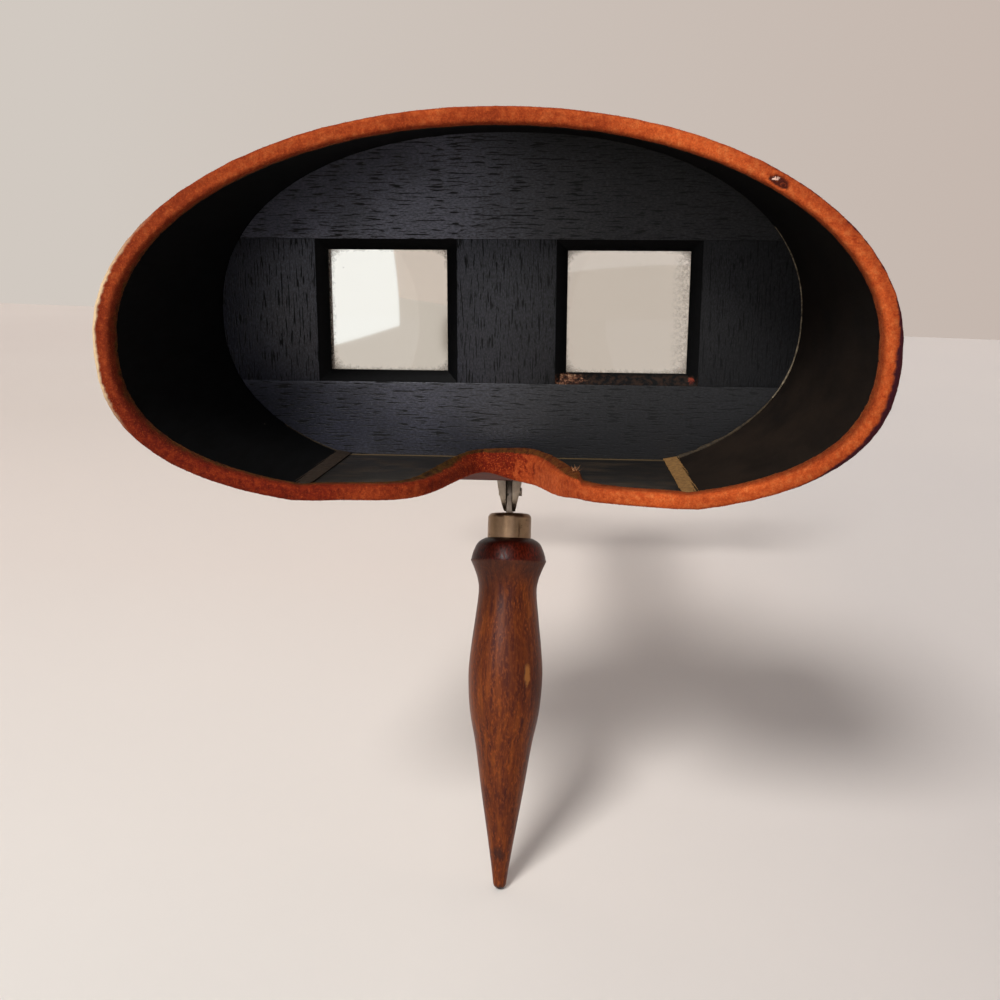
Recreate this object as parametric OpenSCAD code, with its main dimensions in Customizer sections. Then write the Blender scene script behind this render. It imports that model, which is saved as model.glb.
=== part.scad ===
// Handheld stereoscope with a wooden hood, a folding handle and a sliding card holder.
// Sizes are worked out from the lens centre: X to the right, Y away from the eyes, Z up,
// with Y = 0 on the eye side of the lens board. Each piece is then moved so that the
// origin lies at the middle of the hand grip.

/* [Lens board] */
// Distance between the two lens centres
lens_spacing = 64; // [60:0.5:68]
// Side of the square window that shows each lens
window_side = 32; // [28:0.5:34]
// Width of the sloping bezel around each window
bezel_band = 2.9; // [2:0.1:4]
// How far the bezel slopes in from the face of the board
bezel_drop = 2.4; // [1.5:0.1:3]
// Thickness of the bezel frame
bezel_t = 3.4; // [3.2:0.1:4]
// Thickness of the lens board
board_t = 12; // [11.5:0.5:16]
// Half the width of the lens board
board_half_w = 76.8; // [70:0.2:84]
// Height of the lens board's oval above its widest line
board_up = 46.6; // [42:0.2:52]
// Depth of the lens board's oval below its widest line
board_low = 44; // [42:0.2:48]
// Height of the board's widest line
board_mid = -1; // [-3:0.5:1]

/* [Lenses] */
// Radius of the curved face of the lens
lens_curve = 104; // [90:1:130]
// Thickness of the lens at its optical centre
lens_t = 7.4; // [6.8:0.1:8]
// How far the optical centre lies outward of the window's centre
lens_offset = 12; // [6:0.5:14]
// Space around the lens in its pocket
lens_gap = 0.2; // [0.1:0.05:0.4]
// Width of the keeper frame's wall behind the lens
keeper_wall = 2; // [1.4:0.1:2.6]
// Width of the keeper frame's flange on the back of the board
keeper_flange = 2.6; // [2.4:0.1:4]
// Thickness of the keeper frame's flange
keeper_t = 1.2; // [0.8:0.1:2]
// Shank radius of the keeper pins
keeper_pin_r = 0.5; // [0.4:0.05:0.7]
// Length of the keeper pins
keeper_pin_len = 6; // [4:0.5:8]

/* [Hood] */
// Thickness of the bent wood wall
wall_t = 2.2; // [1.8:0.1:3]
// Height from the lens centre down to the hood's floor
floor_drop = 39; // [36:0.5:40]
// Thickness of the floor panel
floor_t = 2.2; // [1.8:0.1:2.6]
// Half the width inside the rim
rim_half_w = 86; // [80:0.5:92]
// Height of the rim's oval above its widest line
rim_up = 49; // [45:0.5:55]
// Depth of the rim's oval below its widest line
rim_low = 39.4; // [38:0.2:42]
// Height of the rim's widest line
rim_mid = -3; // [-5:0.5:0]
// Depth of the hood over the middle of the brow
brow_depth = 34; // [28:1:44]
// Depth of the hood at the temples
temple_depth = 55; // [46:1:64]
// Depth of the hood's floor at its middle, without the nose notch
cheek_depth = 37; // [34:1:46]
// Depth of the nose notch in the floor's edge
nose_depth = 33; // [24:1:33]
// Half the width of the nose notch at half its depth
nose_half_w = 14; // [10:0.5:18]
// Width of the three-cornered strips glued into the seams of the floor
strip_w = 2.4; // [1.6:0.2:4]
// Radius of the pin heads in the hood's wall
hood_pin_r = 1.3; // [0.9:0.1:2]
// Length of the pins in the hood's wall
hood_pin_len = 8; // [5:0.5:12]

/* [Velvet binding] */
// Thickness of the velvet
velvet_t = 0.8; // [0.5:0.1:1.2]
// Width of velvet turned in over the inside of the hood
velvet_in = 3.2; // [2:0.2:6]
// Width of velvet turned over the outside of the hood
velvet_out = 0.9; // [0.4:0.1:4]
// Extra width of velvet that stands up as a collar in the nose notch
collar = 0.2; // [0:0.2:4]
// Thickness of the glue under the velvet and the corner strips
glue_t = 0.08; // [0.05:0.01:0.15]

/* [Bar and septum] */
// Length of the bar
bar_len = 252; // [240:1:300]
// Width of the bar
bar_w = 23; // [18:0.5:30]
// Thickness of the bar
bar_t = 9.5; // [8:0.5:12]
// Thickness of the block that joins the bar to the board
block_t = 12; // [10:0.5:16]
// Width of the block
block_w = 58; // [44:1:70]
// Height of the block above the top of the bar
block_up = 11; // [6:0.5:16]
// Wood left in front of the bar's end, inside the block
block_web = 4; // [3:0.5:6]
// Thickness of the septum between the two views
septum_t = 3; // [2:0.2:5]
// Length of the septum from the back of the board
septum_len = 98; // [70:1:104]
// Height of the septum above the bar
septum_h = 66; // [50:1:72]
// Radius of the stop screw's head at the far end of the bar
stop_r = 2.6; // [1.8:0.1:4]
// Distance of the stop screw from the far end of the bar
stop_inset = 5; // [4:0.5:9]

/* [Handle hinge] */
// Distance from the back of the board to the hinge axis
hinge_back = 6.5; // [6:0.5:10]
// Distance from the bar's underside down to the hinge axis
hinge_drop = 4.7; // [4.7:0.1:6]
// Angle between the opened handle and the upright
handle_lean = 18; // [10:1:20]
// Radius of the hinge pin
pin_r = 1.25; // [1:0.05:1.6]
// Running clearance of the tang on the pin
pin_gap = 0.05; // [0.02:0.01:0.1]
// Thickness of the handle's tang
tang_t = 1.6; // [1.2:0.1:2.2]
// Clearance between the tang and each ear
tang_gap = 0.15; // [0.1:0.05:0.3]
// Radius of the ears around the pin
ear_r = 5.8; // [5:0.1:6]
// Thickness of each ear at the plate
ear_root = 2.5; // [1.8:0.1:3]
// Thickness of each ear at its lower end
ear_tip = 0.5; // [0.3:0.1:1]
// Radius of the tang's head around the pin
head_r = 3.65; // [3.2:0.05:3.65]
// Length of the hinge plate
plate_len = 30; // [24:1:40]
// Width of the hinge plate
plate_w = 11; // [10:0.5:14]
// Thickness of the hinge plate
plate_t = 1.2; // [1:0.1:2]
// Radius of the hinge plate's screw heads
screw_head_r = 2; // [1.6:0.1:2.6]
// Radius of the hinge plate's screw shanks
screw_r = 1; // [0.7:0.1:1.3]
// Length of the hinge plate's screws
screw_len = 7; // [5:0.5:8]

/* [Handle] */
// Distance from the hinge axis to the top of the ferrule
ferrule_start = 6.4; // [6.2:0.1:9]
// Length of the ferrule
ferrule_len = 7.2; // [5:0.1:10]
// Outer radius of the ferrule
ferrule_r = 6.3; // [5:0.1:6.4]
// Wall of the ferrule
ferrule_wall = 0.8; // [0.6:0.1:1.4]
// Length of the wooden grip below the ferrule
grip_len = 99.8; // [80:0.5:120]
// Radius of the ring at the top of the grip
ring_r = 10.75; // [8:0.05:10.8]
// Radius of the neck below the ring
neck_r = 8.4; // [6:0.05:9]
// Radius of the belly in the middle of the grip
belly_r = 10.67; // [8:0.05:13]
// Radius of the rounded tip
tip_r = 1.9; // [1.4:0.1:4]
// Radius of the tang's shank inside the grip
shank_r = 1.6; // [1.2:0.1:2.4]
// Length of the tang's shank inside the grip
shank_len = 26; // [15:1:40]

/* [Card holder] */
// Room between the holder and the stop screw's head
stop_room = 2.4; // [1:0.2:10]
// Length of the ledge that the card stands on
ledge_len = 180; // [170:1:200]
// Depth of the ledge from front to back
ledge_w = 16; // [14:0.5:24]
// Thickness of the ledge
ledge_t = 8; // [7:0.5:12]
// Clearance of the holder on the bar
slide_gap = 0.3; // [0.2:0.05:0.5]
// Width of each runner beside the bar
runner_w = 7; // [5:0.5:10]
// Length of each runner along the bar
runner_len = 28; // [24:1:36]
// Space for the spring under the bar
spring_space = 1.6; // [1.4:0.1:2.4]
// Thickness of the leaf spring
spring_t = 0.4; // [0.3:0.05:0.6]
// Width of the leaf spring
spring_w = 9; // [6:0.5:12]
// Length of the leaf spring
spring_len = 18; // [12:1:19]
// Thickness of the keeper plate under the bar
under_t = 2; // [1.5:0.1:3]
// Length of the keeper plate along the bar
under_len = 20; // [19:1:22]
// Radius of the wires that hold the card
wire_r = 0.9; // [0.7:0.05:1.1]
// Height of the wire loops above the ledge
wire_h = 64; // [50:1:80]
// Width of each wire loop, from leg to leg
wire_w = 17; // [12:0.5:26]
// Distance from the outer leg to the end of the ledge
wire_inset = 4.5; // [4:0.5:8]
// Distance between the front and the back wires, centre to centre
wire_pair = 7.4; // [7:0.2:8]
// Depth of the wires' holes in the ledge
wire_hole = 6; // [4:0.5:6.5]

/* [Hidden] */

$fn = 64;
tiny = 0.01;

// Roundness of the ovals: 2 is an ellipse, and more is squarer
board_n_up = 2.2;
board_n_low = 2.3;
rim_n_up = 2.05;
rim_n_low = 2.6;

// Steps around the hood, along it, and along the floor's front edge
around = 60;
along = 4;
edge_steps = 44;
nose_power = 5;

// Shared places
floor_z = -floor_drop;
bar_top = floor_z;
bar_low = bar_top - bar_t;
pocket_side = window_side + 2 * bezel_band;
bar_start = board_t + block_web;
bar_end = bar_start + bar_len;
hinge_y = board_t + hinge_back;
hinge_z = bar_low - hinge_drop;
card_y = bar_end - stop_inset - stop_r - stop_room - ledge_w / 2;
ledge_low = bar_top + slide_gap;
ledge_top = ledge_low + ledge_t;
under_top = bar_low - spring_space;

// Stations of the turned grip, down from the hinge axis
grip_start = ferrule_start + ferrule_len;
tip_s = grip_start + grip_len;
ring_s = grip_start + 6.6;
neck_s = grip_start + 15.6;
belly_s = grip_start + 39.8;

// The middle of the grip, where the hand holds it
grip_mid = 60;
hold_y = hinge_y - grip_mid * sin(handle_lean);
hold_z = hinge_z - grip_mid * cos(handle_lean);

module in_hand() {
    translate([0, -hold_y, -hold_z]) children();
}

module along_handle() {
    translate([0, hinge_y, hinge_z]) rotate([-handle_lean, 0, 0]) children();
}

module at_lens(side) {
    translate([side * lens_spacing / 2, 0, 0]) children();
}

// Power that keeps the sign, for the ovals
function spow(v, e) = sign(v) * pow(abs(v), e);

// A point [x, z] of an oval whose upper and lower halves have their own roundness
function oval(t, half_w, up, low, mid, n_up, n_low) = [
    half_w * spow(cos(t), 2 / (sin(t) > 0 ? n_up : n_low)),
    mid + (sin(t) > 0 ? up * pow(sin(t), 2 / n_up) : -low * pow(-sin(t), 2 / n_low))];

// The angle below the widest line at which an oval meets the floor
function seam_angle(low, mid, n_low) = asin(pow((mid - floor_z) / low, n_low / 2));

board_seam = seam_angle(board_low, board_mid, board_n_low);
rim_seam = seam_angle(rim_low, rim_mid, rim_n_low);

function turn(i, seam) = -seam + (180 + 2 * seam) * i / around;

// Points [x, z] i steps around the hood, out by a distance from its inner face
function board_at(i, out) = oval(turn(i, board_seam), board_half_w + out, board_up + out,
    board_low + out, board_mid, board_n_up, board_n_low);
function rim_at(i, out) = oval(turn(i, rim_seam), rim_half_w + out, rim_up + out,
    rim_low + out, rim_mid, rim_n_up, rim_n_low);

// Depth of the rim, over the brow and along the cheeks
function rim_depth(x, middle) = middle + (temple_depth - middle) * pow(x / rim_half_w, 2);
function wall_depth(i) =
    let (p = rim_at(i, 0), blend = (p[1] - floor_z) / (rim_mid + rim_up - floor_z))
    rim_depth(p[0], cheek_depth + (brow_depth - cheek_depth) * blend);

// Depth of the floor's front edge, with the nose notch
function nose_cut(x) = nose_depth / (1 + pow(abs(x) / nose_half_w, nose_power));
function floor_depth(x) = rim_depth(x, cheek_depth) - nose_cut(x);

// A point of the wall: ring -1 is the back of the board, 0 its face, and along the rim
function wall_point(ring, i, out) =
    let (a = board_at(i, out), b = rim_at(i, out), s = max(ring, 0) / along)
    [a[0] + (b[0] - a[0]) * s, ring < 0 ? board_t : -wall_depth(i) * s, a[1] + (b[1] - a[1]) * s];

// Faces that close a grid of rings into a skin, each square as two triangles
function square_faces(a, b, c, d) = [[a, b, c], [a, c, d]];

function flatten(lists) = [for (l = lists) for (v = l) v];

// The bent wall, from the left seam over the brow to the right seam
module hood_shell() {
    rings = along + 2;
    row = around + 1;
    inner = [for (r = [-1:along]) for (i = [0:around]) wall_point(r, i, 0)];
    outer = [for (r = [-1:along]) for (i = [0:around]) wall_point(r, i, wall_t)];
    shift = rings * row;
    skins = flatten([for (r = [0:rings - 2]) for (i = [0:around - 1])
        let (a = r * row + i, b = a + 1, c = a + row + 1, d = a + row)
        concat(square_faces(a, b, c, d),
            square_faces(a + shift, d + shift, c + shift, b + shift))]);
    ends = flatten([for (r = [0, rings - 1]) for (i = [0:around - 1])
        let (a = r * row + i, b = a + 1)
        r == 0 ? square_faces(b, a, a + shift, b + shift)
            : square_faces(a, b, b + shift, a + shift)]);
    seams = flatten([for (i = [0, around]) for (r = [0:rings - 2])
        let (a = r * row + i, d = a + row)
        i == 0 ? square_faces(a, d, d + shift, a + shift)
            : square_faces(d, a, a + shift, d + shift)]);
    color("#3a1712") in_hand()
        polyhedron(concat(inner, outer), concat(skins, ends, seams), convexity = 6);
}

// Corners of the floor panel: its top meets the wall's inner face, its underside the outer
floor_back = board_at(0, 0)[0];
floor_front = rim_at(0, 0)[0];
floor_back_out = board_at(0, wall_t)[0];
floor_front_out = rim_at(0, wall_t)[0];

// Where the floor's front edge is sampled, closer together in the nose notch
function edge_x(k) = let (u = 1 - 2 * k / edge_steps) floor_front * (0.55 * u + 0.45 * pow(u, 3));

function floor_edge(k) =
    let (x = edge_x(k), last = k == 0 || k == edge_steps)
    [x, last ? -wall_depth(0) : -floor_depth(x)];

// A stretch of the space between the wall's slanting ends, from one depth to another
module between_walls(y_near, x_near, x_near_out, y_far, x_far, x_far_out) {
    low_z = floor_z - floor_t;
    points = [for (s = [-1, 1]) each [[s * x_near, y_near, floor_z], [s * x_near_out, y_near, low_z],
        [s * x_far, y_far, floor_z], [s * x_far_out, y_far, low_z]]];
    hull() polyhedron(points, [[0, 1, 5, 4], [2, 6, 7, 3], [0, 4, 6, 2], [1, 3, 7, 5],
        [0, 2, 3, 1], [4, 5, 7, 6]]);
}

// The flat floor panel with the nose notch, its side edges bevelled to the wall's ends
module hood_floor() {
    front_y = -wall_depth(0);
    edge = [for (k = [0:edge_steps]) floor_edge(k)];
    color("#4a2016") in_hand() intersection() {
        translate([0, 0, floor_z - floor_t]) linear_extrude(floor_t)
            polygon(concat(edge, [[-floor_front_out, front_y], [-floor_front_out, board_t],
                [floor_front_out, board_t], [floor_front_out, front_y]]));
        union() {
            between_walls(board_t, floor_back, floor_back_out, 0, floor_back, floor_back_out);
            between_walls(0, floor_back, floor_back_out, front_y, floor_front, floor_front_out);
        }
    }
}

// Velvet's cross-section on a piece of edge: a is the inside corner of the wood and b the
// outside corner, back points into the wood, and rise is how far the inside lap stands up
function velvet_section(a, b, back, lap, rise) =
    let (out = (b - a) / norm(b - a), front = -back,
        lap_dir = back * cos(rise) - out * sin(rise), lap_up = -out * cos(rise) - back * sin(rise))
    [a + lap_dir * lap + lap_up * glue_t, a + lap_dir * lap + lap_up * velvet_t,
        a + lap_up * velvet_t,
        a - out * velvet_t * 0.75 * cos(rise) + front * velvet_t * 0.6,
        a + front * velvet_t, b + front * velvet_t,
        b + out * velvet_t * 0.7 + front * velvet_t * 0.7,
        b + out * velvet_t, b + out * velvet_t + back * velvet_out,
        b + out * glue_t + back * velvet_out, b + (out + front) * glue_t,
        a + (lap_up + front) * glue_t];

function unit(v) = v / norm(v);

function wall_section(i) =
    let (a = wall_point(along, i, 0), b = wall_point(along, i, wall_t),
        back = unit(wall_point(along - 1, i, 0) - a))
    velvet_section(a, b, back, velvet_in, 0);

function collar_share(x) = 1 / (1 + pow(abs(x) / (nose_half_w - 1), 6));

function floor_section(k) =
    let (p = floor_edge(k), q = floor_edge(k - 1), r = floor_edge(k + 1),
        way = unit([r[0] - q[0], r[1] - q[1], 0]), back = [way[1], -way[0], 0],
        share = collar_share(p[0]))
    velvet_section([p[0], p[1], floor_z], [p[0], p[1], floor_z - floor_t], back,
        velvet_in + collar * share, 72 * share);

// The velvet strip glued all the way around the rim
module velvet_binding() {
    sections = concat([for (i = [0:around]) wall_section(i)],
        [for (k = [edge_steps - 1:-1:1]) floor_section(k)]);
    sides = len(sections[0]);
    count = len(sections);
    points = flatten(sections);
    skins = flatten([for (s = [0:count - 1]) for (j = [0:sides - 1])
        let (n = (s + 1) % count, m = (j + 1) % sides)
        square_faces(s * sides + j, n * sides + j, n * sides + m, s * sides + m)]);
    color("#b8441c") in_hand() polyhedron(points, skins, convexity = 8);
}

// A three-cornered strip glued into the seam between the wall and the floor
module corner_strip(side) {
    far = 1 - (velvet_in + 0.6) / wall_depth(0);
    function inside(p) = [side * p[0], p[1], p[2]];
    function along_seam(i, s) =
        let (a = wall_point(0, i, 0), b = wall_point(along, i, 0)) a + (b - a) * s;
    function ring(s) =
        let (corner = along_seam(0, s), up = unit(along_seam(1, s) - corner),
            off = corner + [-up[2], 0, up[0]] * 2 * glue_t)
        [inside(corner - [strip_w, 0, 0]), inside(off), inside(off + up * strip_w)];
    color("#7a5a36") in_hand() hull() polyhedron(concat(ring(0), ring(far)),
        [[0, 1, 2], [3, 5, 4], [0, 3, 4, 1], [1, 4, 5, 2], [2, 5, 3, 0]]);
}

module corner_strip_left() { corner_strip(-1); }
module corner_strip_right() { corner_strip(1); }

// The oval lens board before it is divided, with a pocket for each lens
module board_blank() {
    difference() {
        translate([0, board_t, 0]) rotate([90, 0, 0]) linear_extrude(board_t)
            polygon([for (i = [0:around]) board_at(i, 0)]);
        for (side = [-1, 1]) at_lens(side)
            translate([-pocket_side / 2, -1, -pocket_side / 2])
                cube([pocket_side, board_t + 2, pocket_side]);
    }
}

module board_slice(x_low, x_high, z_low, z_high) {
    intersection() {
        board_blank();
        translate([x_low, -1, z_low]) cube([x_high - x_low, board_t + 2, z_high - z_low]);
    }
}

stile_in = lens_spacing / 2 - pocket_side / 2;
stile_out = lens_spacing / 2 + pocket_side / 2;
rail_z = pocket_side / 2;
beyond = 120;

module top_rail() {
    color("#1c1c20") in_hand() board_slice(-beyond, beyond, rail_z, beyond);
}

module bottom_rail() {
    color("#1c1c20") in_hand() board_slice(-beyond, beyond, -beyond, -rail_z);
}

module left_stile() {
    color("#222228") in_hand() board_slice(-beyond, -stile_out, -rail_z, rail_z);
}

module centre_stile() {
    color("#222228") in_hand() board_slice(-stile_in, stile_in, -rail_z, rail_z);
}

module right_stile() {
    color("#222228") in_hand() board_slice(stile_out, beyond, -rail_z, rail_z);
}

// The mitred bezel, flush with the board's face, sloping in to the window
module bezel(side) {
    color("#141416") in_hand() at_lens(side) difference() {
        translate([-pocket_side / 2, 0, -pocket_side / 2])
            cube([pocket_side, bezel_t, pocket_side]);
        translate([-window_side / 2, -1, -window_side / 2])
            cube([window_side, bezel_t + 2, window_side]);
        hull() {
            translate([-pocket_side / 2, -tiny, -pocket_side / 2])
                cube([pocket_side, tiny, pocket_side]);
            translate([-window_side / 2, bezel_drop, -window_side / 2])
                cube([window_side, tiny, window_side]);
        }
    }
}

module bezel_left() { bezel(-1); }
module bezel_right() { bezel(1); }

// The ball that the curved face of each lens is part of
module lens_ball(side) {
    translate([side * lens_offset, bezel_t + lens_t - lens_curve, 0]) sphere(lens_curve, $fn = 200);
}

module lens(side) {
    lens_side = pocket_side - 2 * lens_gap;
    color([0.86, 0.88, 0.86, 0.4]) in_hand() at_lens(side) intersection() {
        translate([-lens_side / 2, bezel_t, -lens_side / 2])
            cube([lens_side, lens_t + 1, lens_side]);
        lens_ball(side);
    }
}

module lens_left() { lens(-1); }
module lens_right() { lens(1); }

// A frame let in behind the lens, shaped to its curve, with a flange on the board's back
module lens_keeper(side) {
    hole_side = pocket_side - 2 * keeper_wall;
    flange_side = pocket_side + 2 * keeper_flange;
    color("#3b2417") in_hand() at_lens(side) difference() {
        union() {
            translate([-pocket_side / 2, bezel_t, -pocket_side / 2])
                cube([pocket_side, board_t - bezel_t, pocket_side]);
            translate([-flange_side / 2, board_t, -flange_side / 2])
                cube([flange_side, keeper_t, flange_side]);
        }
        translate([-hole_side / 2, 0, -hole_side / 2])
            cube([hole_side, board_t + keeper_t + 1, hole_side]);
        lens_ball(side);
    }
}

module lens_keeper_left() { lens_keeper(-1); }
module lens_keeper_right() { lens_keeper(1); }

// Four round-headed pins through each keeper's flange
module keeper_pins() {
    reach = pocket_side / 2 + keeper_flange / 2;
    color("#b08a4a") in_hand() for (side = [-1, 1]) at_lens(side)
        for (x = [-1, 1]) for (z = [-1, 1])
            translate([x * reach, board_t + keeper_t, z * reach]) rotate([90, 0, 0]) {
                cylinder(r = keeper_pin_r, h = keeper_pin_len, $fn = 24);
                translate([0, 0, -keeper_pin_r]) cylinder(r = 2 * keeper_pin_r, h = keeper_pin_r, $fn = 24);
            }
}

// Pins through the wall into the edge of the board
pin_steps = [8, 19, 30, 41, 52];

module hood_pins() {
    color("#a9834a") in_hand() for (i = pin_steps)
        let (a = board_at(i, 0), b = board_at(i, wall_t), way = (b - a) / norm(b - a),
            angle = atan2(way[0], way[1]))
        translate([b[0], board_t / 2, b[1]]) rotate([0, angle, 0]) {
            translate([0, 0, -hood_pin_len]) cylinder(r = hood_pin_r / 2, h = hood_pin_len, $fn = 24);
            intersection() {
                translate([0, 0, -hood_pin_r * 0.6]) sphere(hood_pin_r * 1.2, $fn = 32);
                translate([0, 0, -0.1]) cylinder(r = hood_pin_r, h = hood_pin_r, $fn = 32);
            }
        }
}

// The thin wall that keeps each eye's view apart, stepped over the block
module septum() {
    rise = septum_h / 4;
    color("#23201f") in_hand() translate([-septum_t / 2, 0, bar_top])
        rotate([90, 0, 90]) linear_extrude(septum_t)
            polygon([[board_t, block_up], [board_t + block_t, block_up], [board_t + block_t, 0],
                [board_t + septum_len, 0], [board_t + septum_len, septum_h - rise * 1.6],
                [board_t + septum_len - rise / 4, septum_h - rise * 1.2],
                [board_t + septum_len - rise, septum_h - rise * 0.9],
                [board_t + septum_len / 3, septum_h], [board_t, septum_h]]);
}

// The long flat bar, its far corners rounded
module bar() {
    far_r = 4;
    color("#6e3019") in_hand() difference() {
        union() {
            translate([-bar_w / 2, bar_start, bar_low]) cube([bar_w, bar_len - far_r, bar_t]);
            translate([-bar_w / 2 + far_r, bar_start, bar_low])
                cube([bar_w - 2 * far_r, bar_len, bar_t]);
            for (x = [-1, 1]) translate([x * (bar_w / 2 - far_r), bar_end - far_r, bar_low])
                cylinder(r = far_r, h = bar_t);
        }
        plate_blank();
        hinge_screw_group();
        translate([0, bar_end - stop_inset, bar_top - bar_t / 2]) cylinder(r = stop_r / 2, h = bar_t);
    }
}

// The cross-grained block under the lens board that carries the bar
module bar_block() {
    slope = 5;
    color("#5e2a1c") in_hand() difference() {
        translate([0, board_t + block_t, 0]) rotate([90, 0, 0]) linear_extrude(block_t)
            polygon([[-block_w / 2, bar_low], [block_w / 2, bar_low],
                [block_w / 2, bar_top + block_up - slope], [block_w / 2 - slope, bar_top + block_up],
                [-block_w / 2 + slope, bar_top + block_up],
                [-block_w / 2, bar_top + block_up - slope]]);
        translate([-bar_w / 2, bar_start, bar_low - 1]) cube([bar_w, block_t, bar_t + 1]);
        plate_blank();
        hinge_screw_group();
    }
}

// A round-headed brass screw that keeps the card holder on the bar
module bar_stop() {
    color("#b08a4a") in_hand() translate([0, bar_end - stop_inset, bar_top]) {
        translate([0, 0, -bar_t / 2]) cylinder(r = stop_r / 2, h = bar_t / 2);
        intersection() {
            translate([0, 0, -stop_r * 0.4]) sphere(stop_r * 1.2);
            cylinder(r = stop_r, h = stop_r);
        }
    }
}

plate_start = board_t + 0.8;
plate_end = plate_start + plate_len;
ear_in = tang_t / 2 + tang_gap;

// The outline of the hinge plate, let into the underside of the block and the bar
module plate_blank() {
    translate([0, 0, bar_low]) {
        translate([-plate_w / 2, plate_start, 0])
            cube([plate_w, plate_len - plate_w / 2, plate_t]);
        translate([0, plate_end - plate_w / 2, 0]) cylinder(r = plate_w / 2, h = plate_t);
    }
}

// Two screws in line beyond the ears
screw_spots = [[0, hinge_y + ear_r + 4], [0, plate_end - plate_w / 2]];

module hinge_screw_group() {
    for (spot = screw_spots) translate([spot[0], spot[1], bar_low]) {
        cylinder(r = screw_r, h = screw_len, $fn = 32);
        rotate_extrude($fn = 32) polygon([[0, 0], [screw_head_r, 0], [screw_r, plate_t], [0, plate_t]]);
    }
}

// The shape of both ears seen from the side, with the pin's hole
module ear_side() {
    translate([0, hinge_y, hinge_z]) rotate([0, 90, 0])
        cylinder(r = ear_r, h = 40, center = true);
    translate([-20, hinge_y - ear_r, hinge_z]) cube([40, 2 * ear_r, hinge_drop]);
}

// One ear seen from the front, thick at the plate and thin at its lower end
module ear_front() {
    depth = hinge_drop + ear_r;
    thick = ear_root - ear_tip;
    translate([0, hinge_y + ear_r, 0]) rotate([90, 0, 0]) linear_extrude(2 * ear_r)
        polygon([[ear_in, bar_low], [ear_in + ear_root, bar_low],
            [ear_in + ear_tip + thick * 0.86, bar_low - depth * 0.2],
            [ear_in + ear_tip + thick * 0.64, bar_low - depth * 0.42],
            [ear_in + ear_tip + thick * 0.36, bar_low - depth * 0.66],
            [ear_in + ear_tip, bar_low - depth], [ear_in, bar_low - depth]]);
}

// The hinge plate with its two ears
module hinge_plate() {
    color("#9c8f78") in_hand() difference() {
        union() {
            plate_blank();
            intersection() {
                ear_side();
                union() {
                    ear_front();
                    mirror([1, 0, 0]) ear_front();
                }
            }
        }
        translate([0, hinge_y, hinge_z]) rotate([0, 90, 0]) cylinder(r = pin_r, h = 40, center = true);
        hinge_screw_group();
    }
}

module hinge_screws() {
    color("#b59a63") in_hand() hinge_screw_group();
}

pin_half = ear_in + ear_root * 0.95;

module hinge_pin() {
    color("#c8b890") in_hand() translate([0, hinge_y, hinge_z]) rotate([0, 90, 0])
        cylinder(r = pin_r, h = 2 * pin_half, center = true);
}

// The flat tang on the pin, with a square heel that stops the opened handle at the plate
module handle_tang() {
    color("#8f8470") in_hand() along_handle() {
        difference() {
            rotate([90, 0, 90]) linear_extrude(tang_t, center = true) union() {
                circle(head_r);
                translate([-head_r, 0]) square([head_r, head_r]);
                translate([-head_r, -ferrule_start - ferrule_wall])
                    square([2 * head_r, ferrule_start + ferrule_wall]);
            }
            rotate([0, 90, 0]) cylinder(r = pin_r + pin_gap, h = 2 * tang_t, center = true);
        }
        translate([0, 0, -ferrule_start - ferrule_wall - shank_len])
            cylinder(r = shank_r, h = shank_len);
    }
}

// A drawn metal cap with a rounded shoulder, slotted for the tang
module ferrule() {
    shoulder = 1.4;
    bore_r = ferrule_r - ferrule_wall;
    arc = [for (a = [0:15:90])
        [ferrule_r - shoulder + shoulder * cos(a), -ferrule_start - shoulder + shoulder * sin(a)]];
    color("#a08c68") in_hand() along_handle() difference() {
        rotate_extrude() polygon(concat([[0, -ferrule_start - ferrule_wall],
            [bore_r, -ferrule_start - ferrule_wall], [bore_r, -grip_start],
            [ferrule_r, -grip_start]], arc, [[0, -ferrule_start]]));
        translate([-tang_t / 2, -head_r, -ferrule_start - ferrule_wall - 1])
            cube([tang_t, 2 * head_r, ferrule_wall + 2]);
    }
}

// A smooth curve through the turner's stations [radius, distance from the hinge axis]
stations = [[ferrule_r + 0.5, grip_start], [ferrule_r + 2.6, grip_start + 1.3],
    [ring_r - 0.5, ring_s - 2.6], [ring_r, ring_s], [ring_r - 0.9, ring_s + 2.4],
    [neck_r + 0.4, neck_s - 3.6], [neck_r, neck_s], [neck_r + 0.75, neck_s + 7.5],
    [belly_r - 0.5, belly_s - 8], [belly_r, belly_s], [belly_r - 0.75, belly_s + 10],
    [belly_r * 0.75, belly_s + 19.6], [belly_r * 0.567, belly_s + 32.2],
    [belly_r * 0.366, belly_s + 45], [tip_r + 0.4, tip_s - 5]];

function bend(a, b, c, d, u) = 0.5 * (2 * b + (c - a) * u
    + (2 * a - 5 * b + 4 * c - d) * u * u + (3 * b - 3 * c + d - a) * u * u * u);

grip_steps = 4;
grip_curve = [for (k = [0:len(stations) - 2]) for (j = [0:grip_steps - 1])
    let (p = stations[max(k - 1, 0)], q = stations[k], r = stations[k + 1],
        s = stations[min(k + 2, len(stations) - 1)])
    bend(p, q, r, s, j / grip_steps)];
tip_arc = [for (a = [0:15:75]) [tip_r * cos(a), tip_s - tip_r + tip_r * sin(a)]];

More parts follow.
